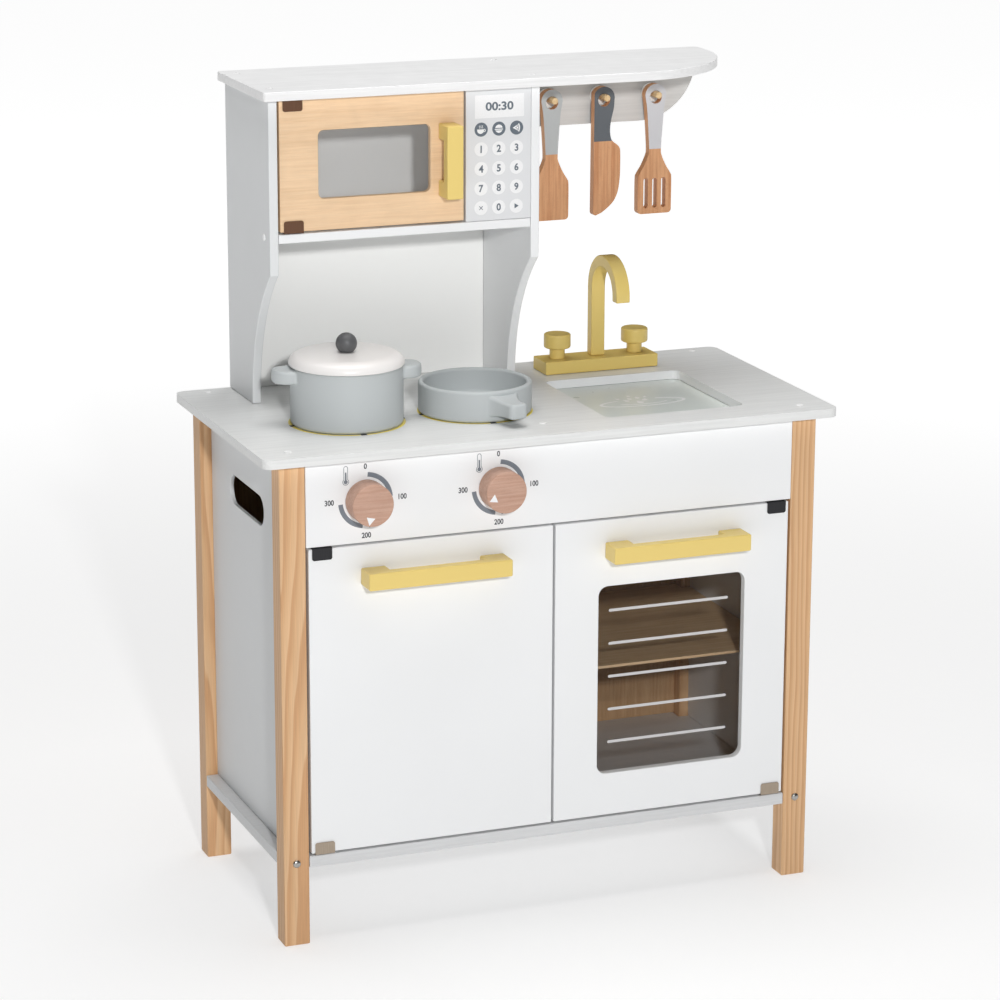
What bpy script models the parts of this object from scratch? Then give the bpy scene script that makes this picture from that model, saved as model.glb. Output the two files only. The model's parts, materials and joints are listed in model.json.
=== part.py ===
"""Wooden toy kitchen: a cabinet with a cupboard and an oven, a worktop with a hob and a sink, a hutch with a
toy microwave, a top shelf, a rail with hanging utensils, and a loose pot, lid and pan.

Metres, +Z up, +X to the right, -Y towards the child. The origin is on the floor, under the toy's middle.
"""

import math

import bmesh
import bpy
from mathutils import Matrix, Vector

# ---- Fits and edges ------------------------------------------------------------------------------
TOUCH = 0.0003            # gap between pieces that touch
PIN_PLAY = 0.0003         # radial gap round a pin, a bolt or a dowel
EDGE = 0.001              # rounding of painted board edges
SOFT_EDGE = 0.002         # rounding of the worktop, the top shelf and the handles

# ---- Overall sizes -------------------------------------------------------------------------------
WIDTH = 0.600             # worktop, left to right
DEPTH = 0.300             # worktop, front to back
WORKTOP_HEIGHT = 0.496    # floor to the top of the worktop
HUTCH_HEIGHT = 0.324      # worktop to the top of the top shelf

# ---- Boards and legs -----------------------------------------------------------------------------
WORKTOP_THICK = 0.009
WORKTOP_CORNER = 0.010
PANEL = 0.009
BACK_PANEL = 0.006
SIDE_PANEL = 0.004
OVEN_SHELF = 0.003
LEG_X = 0.026
LEG_Y = 0.024
LEG_INSET = 0.0185        # worktop's end to the leg's outer face
FRONT_SETBACK = 0.014     # worktop's front edge to the faces of the legs, fascia and doors
REAR_SETBACK = 0.001
BASE_THICK = 0.012
BASE_TOP = 0.091
SIDE_INSET = 0.012        # leg's outer face to the side panel's outer face
FASCIA_HEIGHT = 0.084
SHELF_TOP = 0.238         # oven shelf
SHELF_SETBACK = 0.036     # fascia's face to the oven shelf's front edge
BACK_SETBACK = 0.004      # cabinet back panel, in from the rear faces of the legs
HAND_SLOT = (0.110, 0.030)
HAND_SLOT_DROP = 0.071    # underside of the worktop to the middle of the hand slot
SCREW_R = 0.002           # wood screws through the front legs into the base board
SCREW_LONG = 0.018
SCREW_HEAD = (0.004, 0.0021)     # radius, height
SCREW_TIP = 0.001

# ---- Cabinet doors -------------------------------------------------------------------------------
DOOR = 0.012
DOOR_GAP = 0.0025         # to the legs, and between the two doors
DOOR_TOP_GAP = 0.002
OPENING_STEP = 0.002      # pins stand this much clear of the bottoms of their holes
OVEN_RAIL_X = 0.0465      # door wood left beside the oven window
OVEN_RAIL_Z = (0.0440, 0.0685)   # door wood left below and above the oven window
WINDOW_CORNER = 0.010
PANE_LAP = 0.010          # rebate round a window, behind the door
OVEN_REBATE = 0.004
OVEN_PANE = 0.003
HANDLE_SECTION = (0.012, 0.017)  # bar thickness, bar height
HANDLE_REACH = 0.026
HANDLE_LONG = (0.147, 0.025)     # length, foot
HANDLE_SHORT = (0.0725, 0.016)
HANDLE_DROP = 0.031       # door's top edge to the handle's middle
CATCH = (0.012, 0.018, 0.012)    # magnetic catch

# ---- Pivot hinges --------------------------------------------------------------------------------
LEAF = 0.0009
LEAF_WIDTH = 0.020
LEAF_DROP = 0.011
LEAF_EDGE = 0.0035        # door's hinge side to the leaf
PIVOT_IN = 0.010          # door's hinge side to the pin
PIN_R = 0.002
PIN_REACH = 0.005

# ---- Oven knobs ----------------------------------------------------------------------------------
OVEN_KNOB_R = 0.0207
OVEN_KNOB_LONG = 0.023
OVEN_KNOB_PITCH = 0.136   # between the two knobs, which are centred over the cupboard door
OVEN_KNOB_EDGE = 0.0015
KNOB_BOLT_R = 0.003
KNOB_BOLT_HEAD = (0.006, 0.003)  # radius, height
KNOB_BORE = 0.0108        # depth of the knob's hole for its bolt

# ---- Hutch ---------------------------------------------------------------------------------------
HUTCH_INSET = 0.0585      # worktop's left end to the hutch's outer face
HUTCH_REAR = 0.001
HUTCH_DEEP = 0.141        # side panels above the microwave shelf
HUTCH_FOOT = 0.0775       # side panels where they stand on the worktop
HUTCH_KNEE = 0.142        # worktop to where the side panels start to curve back
HUTCH_CURVE = 0.181
NICHE_HEIGHT = 0.173      # worktop to the underside of the microwave shelf
HUTCH_BACK_IN = 0.004
KEYPAD_WIDTH = 0.0690
MICRO_GAP = 0.002
MICRO_DOOR = 0.009
MICRO_RAIL = (0.0395, 0.0350, 0.031)   # door wood left of the window, right of it, and above and below it
MICRO_WINDOW_CORNER = 0.006
MICRO_REBATE = 0.0028
MICRO_PANE = 0.002
MICRO_HANDLE_IN = 0.0185  # free edge of the door to the handle's middle
MICRO_PIVOT_IN = 0.009

# ---- Top shelf, hook rail and utensils -----------------------------------------------------------
TOP_OVERHANG_LEFT = 0.0095
TOP_OVERHANG_FRONT = 0.017
TOP_RIGHT_INSET = 0.029   # worktop's right end to the top shelf's right end
TOP_ROUND = 0.130
TOP_CORNER = 0.008
RAIL_DROP = 0.0643
RAIL_ROUND = 0.0635
RAIL_END_IN = 0.0045
PEG_FIRST = 0.0585        # hutch's right side to the first peg
PEG_PITCH = 0.058
PEG_DROP = 0.0350         # underside of the top shelf to the peg's axis
PEG_R = 0.0035
PEG_LONG = 0.022
ROSETTE = (0.010, 0.003)  # radius, thickness
UTENSIL = 0.009
UTENSIL_STANDOFF = 0.004  # rosette to the utensil
HANG_HOLE_R = 0.00675

# ---- Sink and tap --------------------------------------------------------------------------------
SINK_WIDTH = 0.150
SINK_RIGHT = 0.083        # worktop's right end to the sink
SINK_FRONT = 0.045
SINK_TO_TAP = 0.023
SINK_TO_HUTCH = 0.027
SINK_CORNER = 0.008
TRAY = 0.006
TRAY_LAP = 0.010
TAP_BASE = (0.126, 0.036, 0.0135)
TAP_REAR = 0.031          # worktop's rear edge to the tap base
SPOUT_WIDE = 0.015
SPOUT_THICK = 0.012
SPOUT_OUTER_R = 0.0385
SPOUT_RISE = 0.073        # tap base to the middle of the arch
SPOUT_TIP_DROP = 0.0045
TAP_KNOB_PITCH = 0.087
TAP_CAP = (0.014, 0.0150)        # radius, height
TAP_STEM = (0.008, 0.0111)
TAP_PEG = (0.004, 0.008)
TAP_CAP_EDGE = 0.002

# ---- Pot, lid and pan ----------------------------------------------------------------------------
HOB_Y = 0.120             # worktop's front edge to the middle of both rings
POT_X = 0.123             # worktop's left end to the pot's middle
HOB_PITCH = 0.134
POT = (0.0555, 0.058, 0.0050)    # radius, height, wall
POT_EAR = (0.017, 0.0745, 0.013)  # half-width, reach from the pot's middle, thickness
POT_EAR_DROP = 0.002
POT_TURN = math.radians(-7)
LID = (0.0570, 0.0115, 0.0430)    # radius, height, radius of the flat top
LID_PLUG = 0.003
LID_BALL_R = 0.0105
LID_BALL_SEAT = 0.0065    # radius of the flat that the ball sits on
LID_DOWEL = (0.003, 0.006)       # radius, length in the lid
CUP_FLOOR = 0.006         # floor of the pot and of the pan
CUP_EDGE = 0.003          # rounding where their floors meet their walls
PAN = (0.0565, 0.031, 0.0057)
PAN_HANDLE = (0.020, 0.015, 0.086, 0.008)  # width, thickness, reach, height above the pan's foot
PAN_HANDLE_CORNER = 0.006
PAN_TURN = math.radians(-80)

# ---- Places worked out from the sizes above ------------------------------------------------------
FRONT = (HANDLE_REACH + TOUCH - FRONT_SETBACK - DEPTH) / 2   # the worktop's front edge
REAR = FRONT + DEPTH
LEFT = -WIDTH / 2
RIGHT = WIDTH / 2
FACE = FRONT + FRONT_SETBACK                         # faces of the legs, the fascia and the doors
WORKTOP_BOTTOM = WORKTOP_HEIGHT - WORKTOP_THICK
LEG_OUTER = WIDTH / 2 - LEG_INSET
LEG_INNER = LEG_OUTER - LEG_X
LEG_REAR_Y = REAR - REAR_SETBACK - LEG_Y
SIDE_OUTER = LEG_OUTER - SIDE_INSET
SIDE_INNER = SIDE_OUTER - SIDE_PANEL
FASCIA_BOTTOM = WORKTOP_BOTTOM - FASCIA_HEIGHT
DOOR_LOW = BASE_TOP + DOOR_TOP_GAP
DOOR_HIGH = FASCIA_BOTTOM - DOOR_TOP_GAP
DOOR_OUTER = LEG_INNER - DOOR_GAP                    # both cabinet doors, measured from the middle
DOOR_INNER = DOOR_GAP / 2
BACK_Y = REAR - REAR_SETBACK - BACK_SETBACK - BACK_PANEL
INSIDE_FRONT = FACE + DOOR + TOUCH * 2

TOP = WORKTOP_HEIGHT + HUTCH_HEIGHT
TOP_LOW = TOP - PANEL
SINK_X1 = RIGHT - SINK_RIGHT
SINK_X0 = SINK_X1 - SINK_WIDTH
TAP_Y1 = REAR - TAP_REAR
TAP_Y0 = TAP_Y1 - TAP_BASE[1]
TAP_X = (SINK_X0 + SINK_X1) / 2
TAP_Y = (TAP_Y0 + TAP_Y1) / 2
TAP_TOP = WORKTOP_HEIGHT + TOUCH + TAP_BASE[2]
SINK_Y0 = FRONT + SINK_FRONT
SINK_Y1 = TAP_Y0 - SINK_TO_TAP

HUTCH_X0 = LEFT + HUTCH_INSET
HUTCH_X1 = SINK_X0 - SINK_TO_HUTCH
HUTCH_IN0 = HUTCH_X0 + PANEL
HUTCH_IN1 = HUTCH_X1 - PANEL
HUTCH_BACK_Y = REAR - HUTCH_REAR
HUTCH_FACE = HUTCH_BACK_Y - HUTCH_DEEP
NICHE_TOP = WORKTOP_HEIGHT + NICHE_HEIGHT
MICRO_FLOOR = NICHE_TOP + PANEL
HUTCH_PANEL_Y = HUTCH_BACK_Y - HUTCH_BACK_IN - BACK_PANEL
KEYPAD_X0 = HUTCH_IN1 - TOUCH - KEYPAD_WIDTH
MICRO_X0 = HUTCH_IN0 + MICRO_GAP
MICRO_X1 = KEYPAD_X0 - MICRO_GAP
MICRO_Z0 = MICRO_FLOOR + DOOR_TOP_GAP
MICRO_Z1 = TOP_LOW - DOOR_TOP_GAP
TOP_X1 = RIGHT - TOP_RIGHT_INSET
TOP_Y0 = HUTCH_FACE - TOP_OVERHANG_FRONT
RAIL_Y0 = HUTCH_BACK_Y - HUTCH_BACK_IN - PANEL
PEG_Z = TOP_LOW - PEG_DROP
UTENSIL_Y1 = RAIL_Y0 - TOUCH - ROSETTE[1] - UTENSIL_STANDOFF
UTENSIL_Z = PEG_Z + PEG_R + TOUCH - HANG_HOLE_R      # the hole's middle, hanging on the peg

POT_PLACE = Vector((LEFT + POT_X, FRONT + HOB_Y, WORKTOP_HEIGHT + TOUCH))
PAN_PLACE = POT_PLACE + Vector((HOB_PITCH, 0, 0))


# ---- Materials -----------------------------------------------------------------------------------
def finish(name, colour, roughness, metallic=0.0, alpha=1.0):
    made = bpy.data.materials.new(name)
    made.use_nodes = True
    shader = made.node_tree.nodes["Principled BSDF"]
    shader.inputs["Base Color"].default_value = (*colour, 1.0)
    shader.inputs["Roughness"].default_value = roughness
    shader.inputs["Metallic"].default_value = metallic
    shader.inputs["Alpha"].default_value = alpha
    made.diffuse_color = (*colour, alpha)
    return made


def finishes():
    return {
        "white": finish("white_paint", (0.83, 0.84, 0.84), 0.45),
        "worktop": finish("worktop_grey", (0.68, 0.68, 0.67), 0.5),
        "base": finish("base_grey", (0.67, 0.68, 0.69), 0.5),
        "pine": finish("pine", (0.66, 0.42, 0.22), 0.55),
        "ply": finish("plywood", (0.52, 0.33, 0.18), 0.6),
        "maple": finish("maple_veneer", (0.79, 0.56, 0.33), 0.5),
        "beech": finish("beech", (0.60, 0.30, 0.14), 0.55),
        "knob": finish("knob_beech", (0.66, 0.42, 0.31), 0.55),
        "yellow": finish("yellow_paint", (0.84, 0.67, 0.21), 0.45),
        "grey": finish("pot_grey", (0.50, 0.54, 0.55), 0.5),
        "lid": finish("lid_white", (0.82, 0.80, 0.79), 0.4),
        "dark": finish("dark_grey", (0.12, 0.12, 0.12), 0.5),
        "steel": finish("steel", (0.45, 0.45, 0.45), 0.3, metallic=1.0),
        "pane": finish("smoked_pane", (0.10, 0.08, 0.07), 0.1, alpha=0.5),
        "clear": finish("clear_pane", (0.55, 0.56, 0.56), 0.1, alpha=0.4),
        "keypad": finish("keypad_grey", (0.70, 0.71, 0.71), 0.5),
        "tray": finish("sink_tray", (0.60, 0.66, 0.63), 0.35),
    }


# ---- Outlines, in the two coordinates of their plane ---------------------------------------------
def arc(centre, radius, start, end, steps):
    """Points of an arc, angles in degrees."""
    points = []
    for step in range(steps + 1):
        angle = math.radians(start + (end - start) * step / steps)
        points.append((centre[0] + radius * math.cos(angle), centre[1] + radius * math.sin(angle)))
    return points


def rounded_rectangle(low, high, corner, steps=4):
    """A rectangle with round corners, whose radius is limited by the shorter side."""
    radius = min(corner, 0.45 * (high[0] - low[0]), 0.45 * (high[1] - low[1]))
    points = arc((high[0] - radius, low[1] + radius), radius, -90, 0, steps)
    points += arc((high[0] - radius, high[1] - radius), radius, 0, 90, steps)
    points += arc((low[0] + radius, high[1] - radius), radius, 90, 180, steps)
    points += arc((low[0] + radius, low[1] + radius), radius, 180, 270, steps)
    return points


def rectangle(low, high):
    return [low, (high[0], low[1]), high, (low[0], high[1])]


# ---- Solids --------------------------------------------------------------------------------------
AXES = {"X": (1, 2, 0), "Y": (0, 2, 1), "Z": (0, 1, 2)}


def prism(outline, axis, start, end, holes=()):
    """A bmesh: an outline, in the two other axes, extruded along an axis, with holes through it."""
    first, second, along = AXES[axis]
    solid = bmesh.new()
    edges = []
    for loop in (outline, *holes):
        ring = []
        for point in loop:
            place = [0.0, 0.0, 0.0]
            place[first], place[second], place[along] = point[0], point[1], start
            ring.append(solid.verts.new(place))
        edges += [solid.edges.new((ring[i - 1], ring[i])) for i in range(len(ring))]
        if not holes:
            solid.faces.new(ring)
    if holes:
        bmesh.ops.triangle_fill(solid, use_beauty=True, use_dissolve=False, edges=edges)
    grown = bmesh.ops.extrude_face_region(solid, geom=solid.faces[:])
    moved = [item for item in grown["geom"] if isinstance(item, bmesh.types.BMVert)]
    step = [0.0, 0.0, 0.0]
    step[along] = end - start
    bmesh.ops.translate(solid, verts=moved, vec=step)
    return solid


def block(low, high):
    return prism(rectangle(low[:2], high[:2]), "Z", low[2], high[2])


def turned(profile, place, axis="Z", sides=32):
    """A bmesh: a profile of (radius, height) turned about an axis. Its two ends are on the axis."""
    solid = bmesh.new()
    rings = []
    for radius, height in profile:
        if radius == 0:
            rings.append([solid.verts.new((0, 0, height))])
            continue
        ring = []
        for side in range(sides):
            angle = 2 * math.pi * side / sides
            ring.append(solid.verts.new((radius * math.cos(angle), radius * math.sin(angle), height)))
        rings.append(ring)
    for below, above in zip(rings, rings[1:]):
        for side in range(sides):
            after = (side + 1) % sides
            corners = [below[side % len(below)], below[after % len(below)],
                       above[after % len(above)], above[side % len(above)]]
            solid.faces.new(list(dict.fromkeys(corners)))
    turn = {"Z": Matrix.Identity(4), "Y": Matrix.Rotation(math.radians(90), 4, "X")}[axis]
    bmesh.ops.transform(solid, matrix=Matrix.Translation(place) @ turn, verts=solid.verts)
    return solid


def disc_profile(radius, low, high, rounding, steps=2):
    """A solid round block from low to high, with rounded rims."""
    points = [(0, low)]
    points += arc((radius - rounding, low + rounding), rounding, -90, 0, steps)
    points += arc((radius - rounding, high - rounding), rounding, 0, 90, steps)
    points.append((0, high))
    return points


def cup_profile(radius, height, wall, floor, rim, steps=2):
    """A round pan: up its outside, over its rim and down to the middle of its floor."""
    points = [(0, 0)]
    points += arc((radius - rim, rim), rim, -90, 0, steps)
    points += arc((radius - wall / 2, height - wall / 2), wall / 2, 0, 180, steps + 2)
    inner = radius - wall
    points += arc((inner - rim, floor + rim), rim, 0, -90, steps)
    points.append((0, floor))
    return points


def build(name, solid, material, origin=None, edge=0.0, cuts=(), adds=(), segments=2):
    """A named object from a bmesh in world places. Its origin sits at a joint's axis, where it has one."""
    bmesh.ops.recalc_face_normals(solid, faces=solid.faces)
    if origin is None:
        corners = [vert.co for vert in solid.verts]
        origin = [(min(co[i] for co in corners) + max(co[i] for co in corners)) / 2 for i in range(3)]
    bmesh.ops.translate(solid, verts=solid.verts, vec=-Vector(origin))
    mesh = bpy.data.meshes.new(name)
    solid.to_mesh(mesh)
    solid.free()
    mesh.shade_smooth()
    mesh.set_sharp_from_angle(angle=math.radians(35))
    mesh.materials.append(material)
    made = bpy.data.objects.new(name, mesh)
    made.location = origin
    bpy.context.collection.objects.link(made)
    if edge:
        bevel = made.modifiers.new("edges", "BEVEL")
        bevel.width = edge
        bevel.segments = segments
        bevel.limit_method = "ANGLE"
        bevel.angle_limit = math.radians(35)
        bevel.use_clamp_overlap = True
    for operation, others in (("UNION", adds), ("DIFFERENCE", cuts)):
        for number, other in enumerate(others):
            change = made.modifiers.new(f"{operation.lower()}_{number}", "BOOLEAN")
            change.operation = operation
            change.object = guide(f"{name}_{operation.lower()}_{number}", other)
    return made


def guide(name, solid):
    """A hidden object that another one is cut by or joined with."""
    bmesh.ops.recalc_face_normals(solid, faces=solid.faces)
    mesh = bpy.data.meshes.new(name)
    solid.to_mesh(mesh)
    solid.free()
    made = bpy.data.objects.new(name, mesh)
    made.hide_render = True
    made.display_type = "WIRE"
    bpy.context.collection.objects.link(made)
    return made


def drill(place, radius, depth, axis="Z", sides=16):
    """A cylinder to cut with, from a place along an axis by a depth, which may be negative."""
    first, second, along = AXES[axis]
    return prism(arc((place[first], place[second]), radius, 0, 360 - 360 / sides, sides - 1), axis,
                 place[along], place[along] + depth)


# ---- Cabinet -------------------------------------------------------------------------------------
def hinge_pin_place(side, low_or_high):
    """Where a cabinet door's pin leaves the door: side -1 for the cupboard door, 1 for the oven door."""
    return Vector((side * (DOOR_OUTER - PIVOT_IN), FACE + DOOR / 2, (DOOR_LOW, DOOR_HIGH)[low_or_high]))


def leg_screw_place(side):
    return Vector((side * (LEG_INNER + LEG_X / 2), FACE, BASE_TOP - BASE_THICK / 2))


def legs(looks):
    for x_name, x_side in (("left", -1), ("right", 1)):
        x_low = min(x_side * LEG_OUTER, x_side * LEG_INNER)
        for y_name, y_low in (("front", FACE), ("rear", LEG_REAR_Y)):
            cuts = []
            if y_name == "front":
                screw = leg_screw_place(x_side) - Vector((0, EDGE, 0))
                cuts.append(drill(screw, SCREW_R + PIN_PLAY, EDGE + SCREW_LONG + OPENING_STEP, "Y", 12))
            outline = rectangle((x_low, y_low), (x_low + LEG_X, y_low + LEG_Y))
            build(f"leg_{y_name}_{x_name}", prism(outline, "Z", 0, WORKTOP_BOTTOM - TOUCH), looks["pine"],
                  edge=SOFT_EDGE * 0.75, cuts=cuts)


def leg_screws(looks):
    """Pan-head screws: a shank with a short point, and a domed head."""
    head_r, head = SCREW_HEAD
    profile = [(0, -SCREW_LONG), (SCREW_R, SCREW_TIP - SCREW_LONG), (SCREW_R, 0)]
    profile += [(head_r * x, head * z) for x, z in arc((0, 0), 1, 0, 60, 2)]
    profile.append((0, head))
    for name, side in (("left", -1), ("right", 1)):
        place = leg_screw_place(side) - Vector((0, TOUCH, 0))
        build(f"leg_screw_{name}", turned(profile, place, "Y", 16), looks["steel"], origin=place)


def base_board(looks):
    """The cabinet's floor fills the space between the legs' outer faces, notched round each leg."""
    x1, x0 = LEG_OUTER, LEG_INNER - TOUCH
    y0, y1 = FACE, LEG_REAR_Y + LEG_Y
    y_in0, y_in1 = FACE + LEG_Y + TOUCH, LEG_REAR_Y - TOUCH
    outline = [(-x0, y0), (x0, y0), (x0, y_in0), (x1, y_in0), (x1, y_in1), (x0, y_in1),
               (x0, y1), (-x0, y1), (-x0, y_in1), (-x1, y_in1), (-x1, y_in0), (-x0, y_in0)]
    holes = []
    for side in (-1, 1):
        place = hinge_pin_place(side, 0)
        place.z = BASE_TOP + EDGE
        holes.append(drill(place, PIN_R + PIN_PLAY, -(PIN_REACH + OPENING_STEP), "Z", 12))
    build("base_board", prism(outline, "Z", BASE_TOP - BASE_THICK, BASE_TOP), looks["base"], edge=EDGE,
          cuts=holes, segments=1)


def side_panels(looks):
    y0, y1 = FACE + LEG_Y + TOUCH, LEG_REAR_Y - TOUCH
    middle = Vector(((y0 + y1) / 2, WORKTOP_BOTTOM - HAND_SLOT_DROP))
    half = Vector(HAND_SLOT) / 2
    slot = rounded_rectangle(middle - half, middle + half, half.y, 6)
    outline = rectangle((y0, BASE_TOP + TOUCH), (y1, WORKTOP_BOTTOM - TOUCH))
    for name, side in (("left", -1), ("right", 1)):
        x_low = min(side * SIDE_OUTER, side * SIDE_INNER)
        build(f"side_panel_{name}", prism(outline, "X", x_low, x_low + SIDE_PANEL, [slot]), looks["white"],
              edge=EDGE / 2, segments=1)


def inner_boards(looks):
    inner_top = WORKTOP_BOTTOM - TOUCH
    build("cabinet_back", block((-LEG_INNER + TOUCH, BACK_Y, BASE_TOP + TOUCH),
                                (LEG_INNER - TOUCH, BACK_Y + BACK_PANEL, inner_top)), looks["ply"])
    divider = block((-PANEL / 2, INSIDE_FRONT, BASE_TOP + TOUCH), (PANEL / 2, BACK_Y - TOUCH, inner_top))
    build("centre_divider", divider, looks["base"], edge=EDGE / 2, segments=1)
    x0, x1 = PANEL / 2 + TOUCH, SIDE_INNER - TOUCH
    y0, y1 = FACE + SHELF_SETBACK, BACK_Y - TOUCH
    notch = LEG_REAR_Y - TOUCH
    outline = [(x0, y0), (x1, y0), (x1, notch), (LEG_INNER - TOUCH, notch), (LEG_INNER - TOUCH, y1), (x0, y1)]
    build("oven_shelf", prism(outline, "Z", SHELF_TOP - OVEN_SHELF, SHELF_TOP), looks["pine"], edge=EDGE / 2,
          segments=1)


def oven_knob_places():
    middle = Vector((-(DOOR_OUTER + DOOR_INNER) / 2, FACE, (FASCIA_BOTTOM + WORKTOP_BOTTOM) / 2))
    return [middle + Vector((side * OVEN_KNOB_PITCH / 2, 0, 0)) for side in (-1, 1)]


def fascia(looks):
    holes = []
    for side in (-1, 1):
        place = hinge_pin_place(side, 1)
        place.z = FASCIA_BOTTOM - EDGE
        holes.append(drill(place, PIN_R + PIN_PLAY, EDGE + PIN_REACH + OPENING_STEP, "Z", 12))
    for place in oven_knob_places():
        holes.append(drill(place - Vector((0, EDGE, 0)), KNOB_BOLT_R + PIN_PLAY, DOOR + 2 * EDGE, "Y", 16))
    side, top = LEG_INNER - TOUCH, WORKTOP_BOTTOM - TOUCH
    board = block((-side, FACE, FASCIA_BOTTOM), (side, FACE + DOOR, top))
    build("fascia", board, looks["white"], edge=EDGE / 2, cuts=holes, segments=1)


def oven_knobs(looks):
    """Each knob turns on a bolt whose head sits behind the fascia."""
    head_r, head = KNOB_BOLT_HEAD
    end = DOOR + TOUCH + KNOB_BORE - OPENING_STEP
    bolt = [(0, -head), (head_r, -head), (head_r, 0), (KNOB_BOLT_R, 0), (KNOB_BOLT_R, end), (0, end)]
    for name, place in zip(("left", "right"), oven_knob_places()):
        seat = place - Vector((0, TOUCH, 0))
        profile = disc_profile(OVEN_KNOB_R, 0, OVEN_KNOB_LONG, OVEN_KNOB_EDGE)
        bore = drill(place + Vector((0, EDGE, 0)), KNOB_BOLT_R + PIN_PLAY, -(EDGE + KNOB_BORE), "Y", 16)
        build(f"oven_knob_{name}", turned(profile, seat, "Y", 40), looks["knob"], origin=place, cuts=[bore])
        rear = place + Vector((0, DOOR + TOUCH, 0))
        build(f"knob_bolt_{name}", turned(bolt, rear, "Y", 16), looks["steel"], origin=place)


def window_door(name, low, high, face, thick, rails, rebate, corner, material, origin):
    """A door with a window and a rebate behind it for the pane. rails are left, right, below, above."""
    window_low = (low[0] + rails[0], low[1] + rails[2])
    window_high = (high[0] - rails[1], high[1] - rails[3])
    window = rounded_rectangle(window_low, window_high, corner, 5)
    seat_low = (window_low[0] - PANE_LAP, window_low[1] - PANE_LAP)
    seat_high = (window_high[0] + PANE_LAP, window_high[1] + PANE_LAP)
    seat = prism(rectangle(seat_low, seat_high), "Y", face + thick - rebate, face + thick + EDGE)
    build(name, prism(rectangle(low, high), "Y", face, face + thick, [window]), material, origin=origin,
          edge=EDGE, cuts=[seat])
    return seat_low, seat_high


def pane(name, seat, rear, thick, material, origin):
    low = (seat[0][0] + TOUCH, seat[0][1] + TOUCH)
    high = (seat[1][0] - TOUCH, seat[1][1] - TOUCH)
    build(name, prism(rectangle(low, high), "Y", rear - thick, rear), material, origin=origin)


def handle(name, middle, length, foot, upright, material, origin):
    """A bar with two block feet. Its outline is drawn from the door outwards, along the bar."""
    thick, tall = HANDLE_SECTION
    half = length / 2
    gap = HANDLE_REACH - thick
    inner = half - foot
    outline = [(-half, 0), (-inner, 0), (-inner, gap), (inner, gap), (inner, 0), (half, 0),
               (half, HANDLE_REACH), (-half, HANDLE_REACH)]
    if upright:
        points = [(middle.y - TOUCH - reach, middle.z + along) for along, reach in outline]
        solid = prism(points, "X", middle.x - tall / 2, middle.x + tall / 2)
    else:
        points = [(middle.x + along, middle.y - TOUCH - reach) for along, reach in outline]
        solid = prism(points, "Z", middle.z - tall / 2, middle.z + tall / 2)
    build(name, solid, material, origin=origin, edge=SOFT_EDGE * 0.75)


def hinge(name, edge_x, side, face, thick, pivot, z, up, material):
    """A pivot hinge: a leaf folded over the door's edge, with a pin. up is 1 at the top, -1 below."""
    leaf_x = sorted((edge_x - side * LEAF_EDGE, edge_x - side * (LEAF_EDGE + LEAF_WIDTH)))
    inner_y, inner_z = face - TOUCH, z + up * TOUCH
    outer_y, outer_z = inner_y - LEAF, inner_z + up * LEAF
    fold_y = face + thick - 2 * EDGE
    leaf_z = z - up * LEAF_DROP
    outline = [(outer_y, leaf_z), (inner_y, leaf_z), (inner_y, inner_z), (fold_y, inner_z), (fold_y, outer_z),
               (outer_y, outer_z)]
    pin_z, pin_end = inner_z + up * LEAF / 2, z + up * (DOOR_TOP_GAP + PIN_REACH)
    pin = drill((pivot.x, pivot.y, pin_z), PIN_R, pin_end - pin_z, "Z", 12)
    build(name, prism(outline, "X", *leaf_x), material, origin=pivot, adds=[pin])


def cabinet_doors(looks):
    for name, side in (("cupboard", -1), ("oven", 1)):
        pivot = hinge_pin_place(side, 0)
        xs = sorted((side * DOOR_OUTER, side * DOOR_INNER))
        low, high = (xs[0], DOOR_LOW), (xs[1], DOOR_HIGH)
        if side < 0:
            build("cupboard_door", prism(rectangle(low, high), "Y", FACE, FACE + DOOR), looks["white"],
                  origin=pivot, edge=EDGE)
        else:
            rails = (OVEN_RAIL_X, OVEN_RAIL_X, *OVEN_RAIL_Z)
            seat = window_door("oven_door", low, high, FACE, DOOR, rails, OVEN_REBATE, WINDOW_CORNER,
                               looks["white"], pivot)
            pane("oven_window", seat, FACE + DOOR - TOUCH * 2, OVEN_PANE, looks["pane"], pivot)
        middle = Vector((side * (DOOR_OUTER + DOOR_INNER) / 2, FACE, DOOR_HIGH - HANDLE_DROP))
        handle(f"{name}_handle", middle, *HANDLE_LONG, False, looks["yellow"], pivot)
        for level, z, up in (("lower", DOOR_LOW, -1), ("upper", DOOR_HIGH, 1)):
            hinge(f"{name}_hinge_{level}", side * DOOR_OUTER, side, FACE, DOOR, pivot, z, up, looks["steel"])


def catches(looks):
    """Magnetic catches that hold the doors shut: two on the centre divider, one under the top shelf."""
    size = Vector(CATCH)
    for name, side in (("cupboard", -1), ("oven", 1)):
        x = sorted((side * (PANEL / 2 + TOUCH), side * (PANEL / 2 + TOUCH + size.x)))
        z = DOOR_HIGH - HANDLE_DROP
        build(f"{name}_catch", block((x[0], INSIDE_FRONT, z), (x[1], INSIDE_FRONT + size.y, z + size.z)),
              looks["dark"])
    low = Vector((MICRO_X1 - 2 * size.x, HUTCH_FACE + MICRO_DOOR + 2 * TOUCH, TOP_LOW - TOUCH - size.z))
    build("microwave_catch", block(low, low + size), looks["dark"])


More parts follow.
